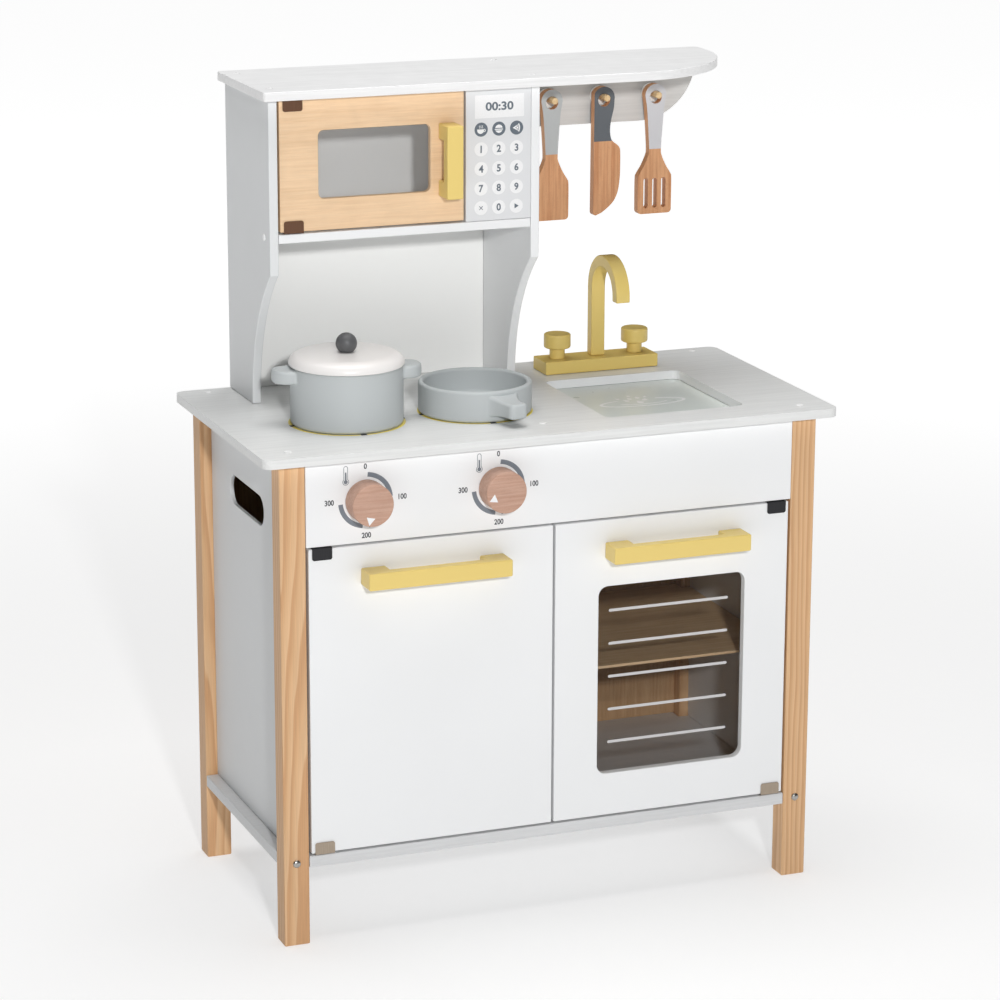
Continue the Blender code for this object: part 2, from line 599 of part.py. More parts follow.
# ---- Worktop, sink and tap -----------------------------------------------------------------------
def worktop(looks):
    outline = rounded_rectangle((LEFT, FRONT), (RIGHT, REAR), WORKTOP_CORNER, 5)
    sink = rounded_rectangle((SINK_X0, SINK_Y0), (SINK_X1, SINK_Y1), SINK_CORNER, 4)
    build("worktop", prism(outline, "Z", WORKTOP_BOTTOM, WORKTOP_HEIGHT, [sink]), looks["worktop"],
          edge=SOFT_EDGE)
    low = (SINK_X0 - TRAY_LAP, SINK_Y0 - TRAY_LAP, WORKTOP_BOTTOM - TOUCH - TRAY)
    high = (SINK_X1 + TRAY_LAP, SINK_Y1 + TRAY_LAP, WORKTOP_BOTTOM - TOUCH)
    build("sink_tray", block(low, high), looks["tray"])


def tap(looks):
    stem_r, stem = TAP_STEM
    cap_r, cap = TAP_CAP
    places = [Vector((TAP_X + side * TAP_KNOB_PITCH / 2, TAP_Y, TAP_TOP)) for side in (-1, 1)]
    peg_r, peg = TAP_PEG
    holes = [drill(place + Vector((0, 0, EDGE)), peg_r + PIN_PLAY, -(EDGE + peg + OPENING_STEP), "Z", 16)
             for place in places]
    half = TAP_BASE[0] / 2
    plinth = block((TAP_X - half, TAP_Y0, WORKTOP_HEIGHT + TOUCH), (TAP_X + half, TAP_Y1, TAP_TOP))
    build("tap_base", plinth, looks["yellow"], edge=EDGE, cuts=holes)
    for name, place in zip(("left", "right"), places):
        profile = [(0, -peg), (peg_r, -peg), (peg_r, TOUCH), (stem_r, TOUCH), (stem_r, stem)]
        profile += disc_profile(cap_r, stem, stem + cap, TAP_CAP_EDGE)[1:]
        build(f"tap_knob_{name}", turned(profile, place, "Z", 32), looks["yellow"], origin=place)
    foot = TAP_TOP + TOUCH
    arch_z = TAP_TOP + SPOUT_RISE
    inner_r = SPOUT_OUTER_R - SPOUT_THICK
    arch_y = TAP_Y + SPOUT_THICK / 2 - SPOUT_OUTER_R
    tip = arch_z - SPOUT_TIP_DROP
    outline = [(arch_y + SPOUT_OUTER_R, foot)]
    outline += arc((arch_y, arch_z), SPOUT_OUTER_R, 0, 180, 14)
    outline += [(arch_y - SPOUT_OUTER_R, tip), (arch_y - inner_r, tip)]
    outline += arc((arch_y, arch_z), inner_r, 180, 0, 12)
    outline.append((arch_y + inner_r, foot))
    build("tap_spout", prism(outline, "X", TAP_X - SPOUT_WIDE / 2, TAP_X + SPOUT_WIDE / 2), looks["yellow"],
          edge=EDGE, segments=1)


# ---- Hutch ---------------------------------------------------------------------------------------
def hutch_sides(looks):
    """The front edge drops to the knee, then sweeps back in an arc that ends upright on the worktop."""
    foot_y = HUTCH_BACK_Y - HUTCH_FOOT
    foot_z = WORKTOP_HEIGHT + TOUCH
    knee_z = WORKTOP_HEIGHT + HUTCH_KNEE
    centre_y = foot_y - HUTCH_CURVE
    reach = min(1.0, (HUTCH_FACE - centre_y) / HUTCH_CURVE)
    knee_angle = math.degrees(math.acos(reach))
    centre_z = knee_z - HUTCH_CURVE * math.sin(math.radians(knee_angle))
    outline = [(HUTCH_BACK_Y, foot_z), (HUTCH_BACK_Y, TOP_LOW - TOUCH), (HUTCH_FACE, TOP_LOW - TOUCH)]
    outline += arc((centre_y, centre_z), HUTCH_CURVE, knee_angle, 0, 12)
    if outline[-1][1] > foot_z + EDGE:
        outline.append((foot_y, foot_z))
    else:
        outline[-1] = (foot_y, foot_z)
    for name, x_low in (("left", HUTCH_X0), ("right", HUTCH_IN1)):
        build(f"hutch_side_{name}", prism(outline, "X", x_low, x_low + PANEL), looks["white"], edge=EDGE)


def micro_pin_place(z):
    return Vector((MICRO_X0 + MICRO_PIVOT_IN, HUTCH_FACE + MICRO_DOOR / 2, z))


def hutch_boards(looks):
    x0, x1 = HUTCH_IN0 + TOUCH, HUTCH_IN1 - TOUCH
    depth = EDGE + PIN_REACH + OPENING_STEP
    hole = drill(micro_pin_place(MICRO_FLOOR + EDGE), PIN_R + PIN_PLAY, -depth, "Z", 12)
    build("microwave_shelf", block((x0, HUTCH_FACE, NICHE_TOP), (x1, HUTCH_PANEL_Y - TOUCH, MICRO_FLOOR)),
          looks["white"], edge=EDGE, cuts=[hole])
    build("hutch_back", block((x0, HUTCH_PANEL_Y, WORKTOP_HEIGHT + TOUCH),
                              (x1, HUTCH_PANEL_Y + BACK_PANEL, TOP_LOW - TOUCH)), looks["white"])
    build("keypad_panel", block((KEYPAD_X0, HUTCH_FACE, MICRO_FLOOR + TOUCH),
                                (HUTCH_IN1 - TOUCH, HUTCH_FACE + PANEL, TOP_LOW - TOUCH)), looks["keypad"],
          edge=EDGE / 2, segments=1)


def microwave_door(looks):
    pivot = micro_pin_place(MICRO_Z0)
    left, right, above = MICRO_RAIL
    low, high, rails = (MICRO_X0, MICRO_Z0), (MICRO_X1, MICRO_Z1), (left, right, above, above)
    seat = window_door("microwave_door", low, high, HUTCH_FACE, MICRO_DOOR, rails, MICRO_REBATE,
                       MICRO_WINDOW_CORNER, looks["maple"], pivot)
    pane("microwave_window", seat, HUTCH_FACE + MICRO_DOOR - TOUCH, MICRO_PANE, looks["clear"], pivot)
    middle = Vector((MICRO_X1 - MICRO_HANDLE_IN, HUTCH_FACE, (MICRO_Z0 + MICRO_Z1) / 2 - 2 * EDGE))
    handle("microwave_handle", middle, *HANDLE_SHORT, True, looks["yellow"], pivot)
    for level, z, up in (("lower", MICRO_Z0, -1), ("upper", MICRO_Z1, 1)):
        hinge(f"microwave_hinge_{level}", MICRO_X0, -1, HUTCH_FACE, MICRO_DOOR, pivot, z, up, looks["steel"])


def top_shelf(looks):
    x0 = HUTCH_X0 - TOP_OVERHANG_LEFT
    y1 = HUTCH_BACK_Y - HUTCH_BACK_IN
    radius = min(TOP_ROUND, y1 - TOP_Y0 - 2 * TOP_CORNER)
    outline = arc((x0 + TOP_CORNER / 2, TOP_Y0 + TOP_CORNER / 2), TOP_CORNER / 2, 180, 270, 3)
    outline += arc((TOP_X1 - radius, TOP_Y0 + radius), radius, -90, 0, 14)
    outline += arc((TOP_X1 - TOP_CORNER, y1 - TOP_CORNER), TOP_CORNER, 0, 90, 3)
    outline += arc((x0 + TOP_CORNER / 2, y1 - TOP_CORNER / 2), TOP_CORNER / 2, 90, 180, 3)
    hole = drill(micro_pin_place(TOP_LOW - EDGE), PIN_R + PIN_PLAY, EDGE + PIN_REACH + OPENING_STEP, "Z", 12)
    build("top_shelf", prism(outline, "Z", TOP_LOW, TOP), looks["white"], edge=EDGE, cuts=[hole])


def peg_places():
    first = HUTCH_X1 + PEG_FIRST
    return [Vector((first + PEG_PITCH * number, RAIL_Y0 - TOUCH, PEG_Z)) for number in range(3)]


def hook_rail(looks):
    x0, x1 = HUTCH_X1 + TOUCH, TOP_X1 - RAIL_END_IN
    z0, z1 = TOP_LOW - RAIL_DROP, TOP_LOW - TOUCH
    outline = [(x1, z1), (x0, z1), (x0, z0)] + arc((x1 - RAIL_ROUND, z0 + RAIL_ROUND), RAIL_ROUND, -90, 0, 10)
    build("hook_rail", prism(outline, "Y", RAIL_Y0, RAIL_Y0 + PANEL), looks["base"], edge=EDGE / 2,
          segments=1)
    flange_r, flange = ROSETTE
    tip = flange + PEG_LONG
    profile = [(0, 0), (flange_r, 0), (flange_r, flange), (PEG_R, flange), (PEG_R, tip - EDGE),
               (PEG_R - EDGE, tip), (0, tip)]
    for name, place in zip(("left", "middle", "right"), peg_places()):
        build(f"hook_peg_{name}", turned(profile, place, "Y", 24), looks["white"], origin=place)


# ---- Utensils. Outlines hang from the middle of the hang hole, x across and z up -----------------
HEAD_R = 0.0118
NECK = (0.0068, -0.060)           # half-width and height of the narrowest place
FLARE = (0.0118, -0.074)          # where the handle widens towards the blade
BLADE = (0.0190, -0.086, -0.124)  # half-width, shoulder and tip
BLADE_CORNER = 0.004
SLOT = (0.005, -0.1180, -0.0865)  # width, lower end and upper end
SLOT_PITCH = 0.010
HEAD_RISE = 0.002         # the hang hole's middle to the middle of the round head over it


def blade_outline():
    """A head round the hang hole, a tapering handle and a straight blade, the same on both sides."""
    right = arc((0, 0), HEAD_R, 90, -20, 8)
    right += [NECK, FLARE, BLADE[:2]]
    right += arc((BLADE[0] - BLADE_CORNER, BLADE[2] + BLADE_CORNER), BLADE_CORNER, 0, -90, 3)
    return right + [(-x, z) for x, z in reversed(right[1:])]


def knife_outline():
    """A straight back on the left; on the right a waisted grip, a heel and a belly that sweeps to the tip."""
    back = -0.0113
    points = arc((0, 0), HEAD_R, 150, 0, 8)
    points += [(0.0112, -0.010), (0.0085, -0.021), (0.0068, -0.032), (0.0085, -0.044)]
    points += [(0.0150, -0.0490), (0.0185, -0.0560), (0.0188, -0.0720), (0.0184, -0.0840), (0.0169, -0.0955)]
    points += [(0.0147, -0.1025), (0.0107, -0.1092), (0.0034, -0.1158), (-0.0025, -0.1198)]
    points += arc((back + 0.003, -0.1190), 0.003, -90, -180, 2)
    return points


def utensils(looks):
    wide, low, high = SLOT
    slots = [rounded_rectangle((x - wide / 2, low), (x + wide / 2, high), wide / 2, 2)
             for x in (-SLOT_PITCH, 0, SLOT_PITCH)]
    hole = arc((0, -HEAD_RISE), HANG_HOLE_R, 0, 345, 23)
    shapes = {"spatula": (blade_outline(), [hole]), "knife": (knife_outline(), [hole]),
              "turner": (blade_outline(), [hole, *slots])}
    for (name, (outline, holes)), peg in zip(shapes.items(), peg_places()):
        middle = Vector((peg.x, UTENSIL_Y1 - UTENSIL, UTENSIL_Z + HEAD_RISE))
        solid = prism(outline, "Y", 0, UTENSIL, holes)
        bmesh.ops.translate(solid, verts=solid.verts, vec=middle)
        build(f"toy_{name}", solid, looks["beech"], origin=middle, edge=EDGE * 0.6, segments=1)


# ---- Pot, lid and pan ----------------------------------------------------------------------------
def turned_prism(outline, low, high, place, angle):
    """A flat outline from low to high, turned by an angle about a place."""
    solid = prism(outline, "Z", low, high)
    turn = Matrix.Translation(place) @ Matrix.Rotation(angle, 4, "Z")
    bmesh.ops.transform(solid, matrix=turn, verts=solid.verts)
    return solid


def grip_root(radius, wall):
    """How far from a pan's middle its grip starts, which is inside its wall."""
    return radius - 0.75 * wall


def pot(looks):
    radius, height, wall = POT
    half, reach, thick = POT_EAR
    top = height - POT_EAR_DROP
    root = grip_root(radius, wall)
    outline = [(root, -half)] + arc((reach - half, 0), half, -90, 90, 10) + [(root, half)]
    ears = [turned_prism(outline, top - thick, top, POT_PLACE, POT_TURN + turn) for turn in (0, math.pi)]
    cup = turned(cup_profile(radius, height, wall, CUP_FLOOR, CUP_EDGE), POT_PLACE, "Z", 48)
    build("pot", cup, looks["grey"], origin=POT_PLACE, adds=ears)


def pot_lid(looks):
    """The lid plugs into the pot. Its ball sits on the flat top, on a dowel in the lid."""
    radius, height, flat = LID
    place = POT_PLACE + Vector((0, 0, POT[1] + TOUCH))
    plug_r = POT[0] - POT[2] - 3 * TOUCH
    drop = radius - flat
    dowel_r, dowel = LID_DOWEL
    profile = [(0, -LID_PLUG), (plug_r, -LID_PLUG), (plug_r, 0), (radius - EDGE, 0), (radius, EDGE)]
    for step in range(1, 6):
        angle = math.radians(90 * step / 5)
        profile.append((flat + drop * math.cos(angle), EDGE + (height - EDGE) * math.sin(angle)))
    profile.append((0, height))
    depth = EDGE + dowel + OPENING_STEP
    bore = drill(place + Vector((0, 0, height + EDGE)), dowel_r + PIN_PLAY, -depth, "Z", 12)
    build("pot_lid", turned(profile, place, "Z", 48), looks["lid"], origin=place, cuts=[bore])
    seat = place + Vector((0, 0, height + TOUCH))
    centre = math.sqrt(LID_BALL_R ** 2 - LID_BALL_SEAT ** 2)
    start = math.degrees(math.atan2(-centre, LID_BALL_SEAT))
    ball = [(0, -dowel), (dowel_r, -dowel), (dowel_r, 0)] + arc((0, centre), LID_BALL_R, start, 84, 8)
    ball.append((0, centre + LID_BALL_R))
    build("pot_lid_knob", turned(ball, seat, "Z", 24), looks["dark"], origin=place)


def pan(looks):
    radius, height, wall = PAN
    wide, thick, reach, lift = PAN_HANDLE
    root, corner = grip_root(radius, wall), PAN_HANDLE_CORNER
    outline = [(root, -wide / 2)] + arc((reach - corner, corner - wide / 2), corner, -90, 0, 3)
    outline += arc((reach - corner, wide / 2 - corner), corner, 0, 90, 3) + [(root, wide / 2)]
    grip = turned_prism(outline, lift, lift + thick, PAN_PLACE, PAN_TURN)
    cup = turned(cup_profile(radius, height, wall, CUP_FLOOR, CUP_EDGE), PAN_PLACE, "Z", 48)
    build("pan", cup, looks["grey"], origin=PAN_PLACE, adds=[grip])


def main():
    for old in list(bpy.data.objects):
        bpy.data.objects.remove(old)
    looks = finishes()
    for piece in (legs, leg_screws, base_board, side_panels, inner_boards, fascia, oven_knobs, cabinet_doors,
                  catches, worktop, tap, hutch_sides, hutch_boards, microwave_door, top_shelf, hook_rail,
                  utensils, pot, pot_lid, pan):
        piece(looks)


main()
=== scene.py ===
"""Looks of the wooden toy kitchen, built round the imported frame.

Metres, +Z up, +X to the right, -Y towards the child. A piece named fine_NODE stands for the CAD node of that name
and takes its place from the node's box. What is printed on the toy is a thin raised piece of its own.
"""

import json
from math import acos, asin, cos, degrees, pi, radians, sin, sqrt

import bmesh
import bpy
from mathutils import Matrix, Vector


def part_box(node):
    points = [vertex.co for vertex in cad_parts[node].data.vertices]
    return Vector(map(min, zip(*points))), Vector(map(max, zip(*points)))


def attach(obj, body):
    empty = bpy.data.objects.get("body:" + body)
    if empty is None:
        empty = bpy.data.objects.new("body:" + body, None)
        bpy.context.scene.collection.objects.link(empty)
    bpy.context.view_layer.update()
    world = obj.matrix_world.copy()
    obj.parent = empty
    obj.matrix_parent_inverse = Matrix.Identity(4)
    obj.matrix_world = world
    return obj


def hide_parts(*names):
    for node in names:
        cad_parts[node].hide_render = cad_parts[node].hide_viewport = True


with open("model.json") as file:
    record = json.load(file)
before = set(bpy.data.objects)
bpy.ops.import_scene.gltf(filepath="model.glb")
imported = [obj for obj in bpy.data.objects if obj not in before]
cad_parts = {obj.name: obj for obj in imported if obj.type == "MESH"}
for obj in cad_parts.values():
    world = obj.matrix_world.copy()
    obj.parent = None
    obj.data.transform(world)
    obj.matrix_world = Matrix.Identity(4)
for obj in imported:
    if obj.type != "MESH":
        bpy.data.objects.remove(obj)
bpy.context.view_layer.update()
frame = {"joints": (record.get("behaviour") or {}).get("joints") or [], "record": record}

MM = 0.001
TOUCH = 0.3 * MM          # gap between pieces that touch
PLAY = 0.3 * MM           # radial gap round a pin
PRINT = 0.06 * MM         # how far what is printed stands out of its face
SUNK = 0.01 * MM          # gap under it
SIDES = ("left", "right")


# ---- Node graphs ----
def srgb(red, green, blue):
    """A colour given as 8-bit sRGB, in the linear values that a shader takes."""
    linear = []
    for value in (red, green, blue):
        share = value / 255
        linear.append(share / 12.92 if share <= 0.04045 else ((share + 0.055) / 1.055) ** 2.4)
    return (*linear, 1.0)


def scaled(colour, share):
    return (*(part * share for part in colour[:3]), 1.0)


class Graph:
    """A material's nodes, with short calls for the ones used here."""

    def __init__(self, name, **values):
        self.material = bpy.data.materials.new(name)
        self.material.use_nodes = True
        self.tree = self.material.node_tree
        self.shader = self.tree.nodes["Principled BSDF"]
        for key, value in values.items():
            self.shader.inputs[key.replace("_", " ")].default_value = value

    def link(self, socket, value):
        if isinstance(value, bpy.types.NodeSocket):
            self.tree.links.new(value, socket)
        else:
            socket.default_value = value

    def add(self, kind, inputs, **settings):
        made = self.tree.nodes.new("ShaderNode" + kind)
        for key, value in settings.items():
            setattr(made, key, value)
        for key, value in inputs.items():
            self.link(made.inputs[key], value)
        return made

    def place(self, scale=(1, 1, 1), offset=(0, 0, 0), turn=(0, 0, 0)):
        """The piece's own coordinates, in metres, scaled, turned and then moved."""
        here = self.add("TexCoord", {}).outputs["Object"]
        made = self.add("Mapping", {"Vector": here, "Location": offset, "Rotation": turn, "Scale": scale})
        return made.outputs["Vector"]

    def noise(self, vector, scale=1.0, detail=2.0, distortion=0.0):
        inputs = {"Vector": vector, "Scale": scale, "Detail": detail, "Distortion": distortion}
        return self.add("TexNoise", inputs).outputs["Fac"]

    def math(self, operation, first, second=0.0):
        return self.add("Math", {0: first, 1: second}, operation=operation).outputs["Value"]

    def ramp(self, factor, stops):
        """Colours or grey values along a factor. stops are (place, colour or number)."""
        made = self.add("ValToRGB", {"Fac": factor})
        marks = made.color_ramp.elements
        while len(marks) < len(stops):
            marks.new(0.5)
        for mark, (position, colour) in zip(marks, stops):
            mark.position = position
            mark.color = colour if isinstance(colour, tuple) else (colour, colour, colour, 1.0)
        return made.outputs["Color"]

    def mix(self, factor, first, second, blend="MIX"):
        """Two colours mixed by a factor. A Mix node has its colour sockets at these places."""
        made = self.add("Mix", {0: factor, 6: first, 7: second}, data_type="RGBA", blend_type=blend)
        return made.outputs[2]

    def shade(self, colour, factor, *stops):
        """A colour, multiplied by the grey values that a factor gives."""
        return self.mix(1.0, colour, self.ramp(factor, stops), "MULTIPLY")

    def bump(self, height, strength, distance):
        made = self.add("Bump", {"Height": height, "Strength": strength, "Distance": distance})
        self.link(self.shader.inputs["Normal"], made.outputs["Normal"])

    def colour(self, value):
        self.link(self.shader.inputs["Base Color"], value)

    def rough(self, factor, swing, lowest):
        """Roughness that rises from the lowest by a factor's share of the swing."""
        value = self.math("ADD", self.math("MULTIPLY", factor, swing), lowest)
        self.link(self.shader.inputs["Roughness"], value)


# ---- Materials ----
def paint(name, colour, roughness=0.42, streaks=None, peel=0.25, tone=0.035):
    """Satin paint on board: a slow drift of tone, a fine orange peel, and grain streaks along an axis."""
    colour = srgb(*colour)
    graph = Graph(name, Roughness=roughness)
    drift = graph.noise(graph.place(), 9.0, 3.0)
    colour_now = graph.mix(drift, scaled(colour, 1 - tone), scaled(colour, 1 + tone * 0.6))
    fine = graph.noise(graph.place(), 1100.0, 2.0)
    height = fine
    if streaks:
        stretch = tuple(14.0 if letter == streaks else 420.0 for letter in "XYZ")
        lines = graph.noise(graph.place(stretch), 1.0, 3.0)
        colour_now = graph.shade(colour_now, lines, (0.35, 0.93), (0.65, 1.0))
        height = graph.math("ADD", graph.math("MULTIPLY", lines, 1.5), fine)
    graph.colour(colour_now)
    graph.rough(graph.noise(graph.place(), 60.0, 2.0), 0.12, roughness - 0.06)
    graph.bump(height, peel, 0.00008)
    return graph.material


def fibres(graph, axis, width, length):
    """Noise drawn out along an axis, in streaks of about that width and length."""
    scale = tuple(1 / length if letter == axis else 1 / width for letter in "XYZ")
    return graph.noise(graph.place(scale), 1.0, 3.0)


def pine(name, heart, lean, spacing=4.6 * MM):
    """Pine with growth rings round a leaning heart line, so that they run as long arches on the faces."""
    graph = Graph(name)
    slow = graph.noise(graph.place((26.0, 26.0, 3.2)), 1.0, 2.0)
    rings_at = graph.place(offset=(-heart[0], -heart[1], 0.0), turn=(*lean, 0.0))
    flat = graph.add("VectorMath", {0: rings_at, 1: (1.0, 1.0, 0.0)}, operation="MULTIPLY").outputs["Vector"]
    distance = graph.add("VectorMath", {0: flat}, operation="LENGTH").outputs["Value"]
    rings = graph.math("MULTIPLY", distance, 1 / spacing)
    rings = graph.math("ADD", rings, graph.math("MULTIPLY", slow, 3.4))
    phase = graph.math("FRACT", rings)
    light, between, dark = srgb(224, 184, 141), srgb(218, 175, 130), srgb(206, 158, 113)
    wood = graph.ramp(phase, ((0.0, light), (0.45, between), (0.80, dark), (0.93, dark), (1.0, light)))
    strands = fibres(graph, "Z", 0.7 * MM, 40 * MM)
    wood = graph.shade(wood, strands, (0.3, 0.90), (0.7, 1.04))
    broad = graph.noise(graph.place((18.0, 18.0, 4.0), (3.1, 1.7, 0.4)), 1.0, 2.0)
    wood = graph.shade(wood, broad, (0.3, 0.93), (0.7, 1.03))
    graph.colour(wood)
    graph.rough(strands, 0.16, 0.44)
    graph.bump(graph.math("ADD", strands, graph.math("MULTIPLY", phase, 0.5)), 0.22, 0.00012)
    return graph.material


def fine_wood(name, light, dark, axis, pores=0.0, roughness=0.5, figure=0.03):
    """A close-grained wood: soft streaks along an axis, a cloudy figure and short pores."""
    graph = Graph(name)
    streaks = fibres(graph, axis, 2.6 * MM, 70 * MM)
    wood = graph.ramp(streaks, ((0.30, srgb(*dark)), (0.62, srgb(*light))))
    hair = fibres(graph, axis, 0.45 * MM, 16 * MM)
    wood = graph.shade(wood, hair, (0.3, 0.94), (0.65, 1.02))
    cloud = graph.noise(graph.place(), 38.0, 3.0, 0.6)
    wood = graph.shade(wood, cloud, (0.3, 1 - figure), (0.7, 1 + figure))
    height = hair
    if pores:
        flecks = fibres(graph, axis, 0.32 * MM, 2.6 * MM)
        wood = graph.shade(wood, flecks, (0.60, 1.0), (0.68, 1 - pores))
        height = graph.math("SUBTRACT", hair, flecks)
    graph.colour(wood)
    graph.rough(hair, 0.14, roughness - 0.07)
    graph.bump(height, 0.18, 0.0001)
    return graph.material


def plate_metal(name, colour, roughness=0.36):
    """Pressed steel plate with a drawn finish and a faint unevenness."""
    colour = srgb(*colour)
    graph = Graph(name, Metallic=1.0)
    marks = graph.noise(graph.place((900.0, 60.0, 60.0)), 1.0, 2.0)
    graph.colour(graph.mix(marks, scaled(colour, 0.82), scaled(colour, 1.12)))
    graph.rough(marks, 0.16, roughness - 0.08)
    graph.bump(graph.noise(graph.place(), 500.0, 2.0), 0.08, 0.00006)
    return graph.material


def ink(name, colour, roughness=0.5):
    """Screen-printed ink, a little uneven in cover."""
    colour = srgb(*colour)
    graph = Graph(name, Roughness=roughness)
    cover = graph.noise(graph.place(), 700.0, 2.0)
    graph.colour(graph.mix(cover, scaled(colour, 0.93), scaled(colour, 1.04)))
    return graph.material


def acrylic(name, colour, alpha, roughness):
    """A clear or smoked sheet. Its film lets the rest of the light through. On the clear sheet the white film is
    painted reflection.
    """
    colour = srgb(*colour)
    graph = Graph(name, Roughness=roughness, Alpha=alpha, IOR=1.49)
    film_tone = graph.noise(graph.place(), 14.0, 2.0)
    graph.colour(graph.mix(film_tone, scaled(colour, 0.9), scaled(colour, 1.08)))
    return graph.material


LOOKS = {
    # The niche's white is painted lighter than the other whites: painted light for the light that reaches into the
    # niche.
    "niche": paint("niche_white_painted_light", (250, 250, 248), tone=0.015),
    "white": paint("white_satin_paint", (238, 239, 240), tone=0.02),
    "worktop": paint("worktop_grey_paint", (230, 231, 230), 0.40, "X", 0.3, 0.025),
    "top": paint("top_shelf_paint", (241, 241, 241), 0.40, "X", 0.22, 0.02),
    "base": paint("light_grey_paint", (216, 217, 218), 0.45, "X", 0.25),
    "rail": paint("rail_grey_paint", (207, 205, 202), 0.45, "X", 0.25),
    # A darker white for the side panels: painted shade for the sides that face away from the light.
    "side": paint("shaded_side_paint", (222, 224, 225), 0.45, None, 0.25, 0.02),
    "keypad": paint("keypad_grey_paint", (221, 222, 224), 0.4, None, 0.2, 0.015),
    "yellow": paint("yellow_paint", (231, 204, 119), 0.38, None, 0.35, 0.03),
    "pot": paint("pot_grey_paint", (190, 195, 196), 0.5, None, 0.35, 0.03),
    "lid": paint("lid_white_paint", (240, 237, 235), 0.34, None, 0.2, 0.02),
    "dark": paint("dark_grey_paint", (92, 93, 95), 0.45, None, 0.4, 0.06),
    "plastic": paint("black_catch_plastic", (46, 46, 48), 0.4, None, 0.3, 0.1),
    "maple": fine_wood("maple_veneer", (236, 203, 165), (228, 192, 152), "X", 0.04, 0.46),
    "ply": fine_wood("plywood_back", (206, 168, 126), (188, 148, 106), "Z", 0.12, 0.6, 0.05),
    "shelf": fine_wood("shelf_ply", (222, 190, 150), (206, 172, 130), "X", 0.10, 0.55, 0.04),
    "beech": fine_wood("beech_utensils", (214, 160, 116), (192, 132, 88), "Z", 0.20, 0.52, 0.04),
    "knob": fine_wood("beech_knobs", (198, 160, 140), (184, 142, 121), "X", 0.14, 0.52, 0.05),
    "dowel": fine_wood("peg_dowel", (226, 196, 150), (208, 174, 126), "Y", 0.10, 0.5),
    # The rosettes' white is brighter than the boards': partly their own whiter paint, partly painted light for the
    # strong light on them.
    "rosette": paint("peg_rosette_white_and_painted_light", (252, 251, 248), 0.4, None, 0.2, 0.01),
    "grip_grey": paint("spatula_grip_paint", (176, 178, 178), peel=0.3),
    "grip_dark": paint("knife_grip_paint", (90, 94, 99), peel=0.3),
    "grip_light": paint("turner_grip_paint", (200, 199, 202), peel=0.3),
    "hinge_black": plate_metal("hinge_black_plate", (60, 60, 62), 0.42),
    "hinge_steel": plate_metal("hinge_steel_plate", (170, 156, 140)),
    "hinge_brown": plate_metal("hinge_brown_plate", (110, 82, 66)),
    "steel": plate_metal("screw_steel", (176, 174, 170), 0.3),
    "smoked": acrylic("smoked_acrylic", (64, 48, 38), 0.1, 0.05),
    # The clear pane's white film is painted reflection, for the whitish sheen of light on the pane.
    "clear": acrylic("clear_acrylic_painted_reflection", (226, 226, 226), 0.12, 0.05),
    "tray": paint("sink_tray_print", (214, 220, 216), 0.3, None, 0.15, 0.02),
    "ink_slate": ink("slate_ink", (118, 125, 134)),
    "ink_icon": ink("icon_ink", (98, 108, 118)),
    "ink_dark": ink("dark_ink", (66, 68, 74)),
    "ink_white": ink("white_ink", (240, 240, 241)),
    "ink_line": ink("oven_line_ink", (204, 203, 203)),
    "ink_yellow": ink("ring_yellow_ink", (240, 220, 110)),
    "ink_black": ink("ring_black_ink", (34, 36, 38)),
    "cap": paint("screw_cap_plastic", (246, 246, 246), 0.3, None, 0.1, 0.01),
}


# ---- Outlines, in the two coordinates of their plane ----
def arc(centre, radius, start, end, steps):
    """Points of an arc, angles in degrees."""
    points = []
    for step in range(steps + 1):
        angle = radians(start + (end - start) * step / steps)
        points.append((centre[0] + radius * cos(angle), centre[1] + radius * sin(angle)))
    return points


def circle(centre, radius, steps=48):
    return arc(centre, radius, 0, 360 - 360 / steps, steps - 1)


def rectangle(low, high):
    return [tuple(low), (high[0], low[1]), tuple(high), (low[0], high[1])]


def rounded(low, high, corner, steps=8):
    """A rectangle with round corners."""
    corner = min(corner, 0.499 * (high[0] - low[0]), 0.499 * (high[1] - low[1]))
    points = arc((high[0] - corner, low[1] + corner), corner, -90, 0, steps)
    points += arc((high[0] - corner, high[1] - corner), corner, 0, 90, steps)
    points += arc((low[0] + corner, high[1] - corner), corner, 90, 180, steps)
    points += arc((low[0] + corner, low[1] + corner), corner, 180, 270, steps)
    return points


def sector(centre, inner, outer, start, end, steps=24):
    """A piece of a flat ring."""
    return arc(centre, outer, start, end, steps) + arc(centre, inner, end, start, steps)


def smooth(points, steps=6):
    """An open run of points drawn as a Catmull-Rom curve through them."""
    run = [points[0], *points, points[-1]]
    curve = []
    for before, start, end, after in zip(run, run[1:], run[2:], run[3:]):
        for step in range(steps):
            t = step / steps
            curve.append(tuple(0.5 * (2 * s + (e - b) * t + (2 * b - 5 * s + 4 * e - a) * t * t
                                      + (3 * s - b - 3 * e + a) * t ** 3)
                               for b, s, e, a in zip(before, start, end, after)))
    return curve + [tuple(points[-1])]


def centred(centre, half, corner, steps=8):
    """A rectangle with round corners, from its middle and its half sizes."""
    low, high = [[at + side * by for at, by in zip(centre, half)] for side in (-1, 1)]
    return rounded(low, high, corner, steps)


def spun(points, angle):
    """Points turned about the origin, in degrees."""
    across, up = cos(radians(angle)), sin(radians(angle))
    return [(x * across - y * up, x * up + y * across) for x, y in points]


def placed(place, shapes, unit=MM):
    """Shapes drawn round the origin, in millimetres, put at a place. A shape is an outline and its holes."""
    return [[[(place[0] + x * unit, place[1] + y * unit) for x, y in loop] for loop in shape]
            for shape in shapes]


# ---- Solids ----
AXES = {"X": (1, 2, 0), "Y": (0, 2, 1), "Z": (0, 1, 2)}


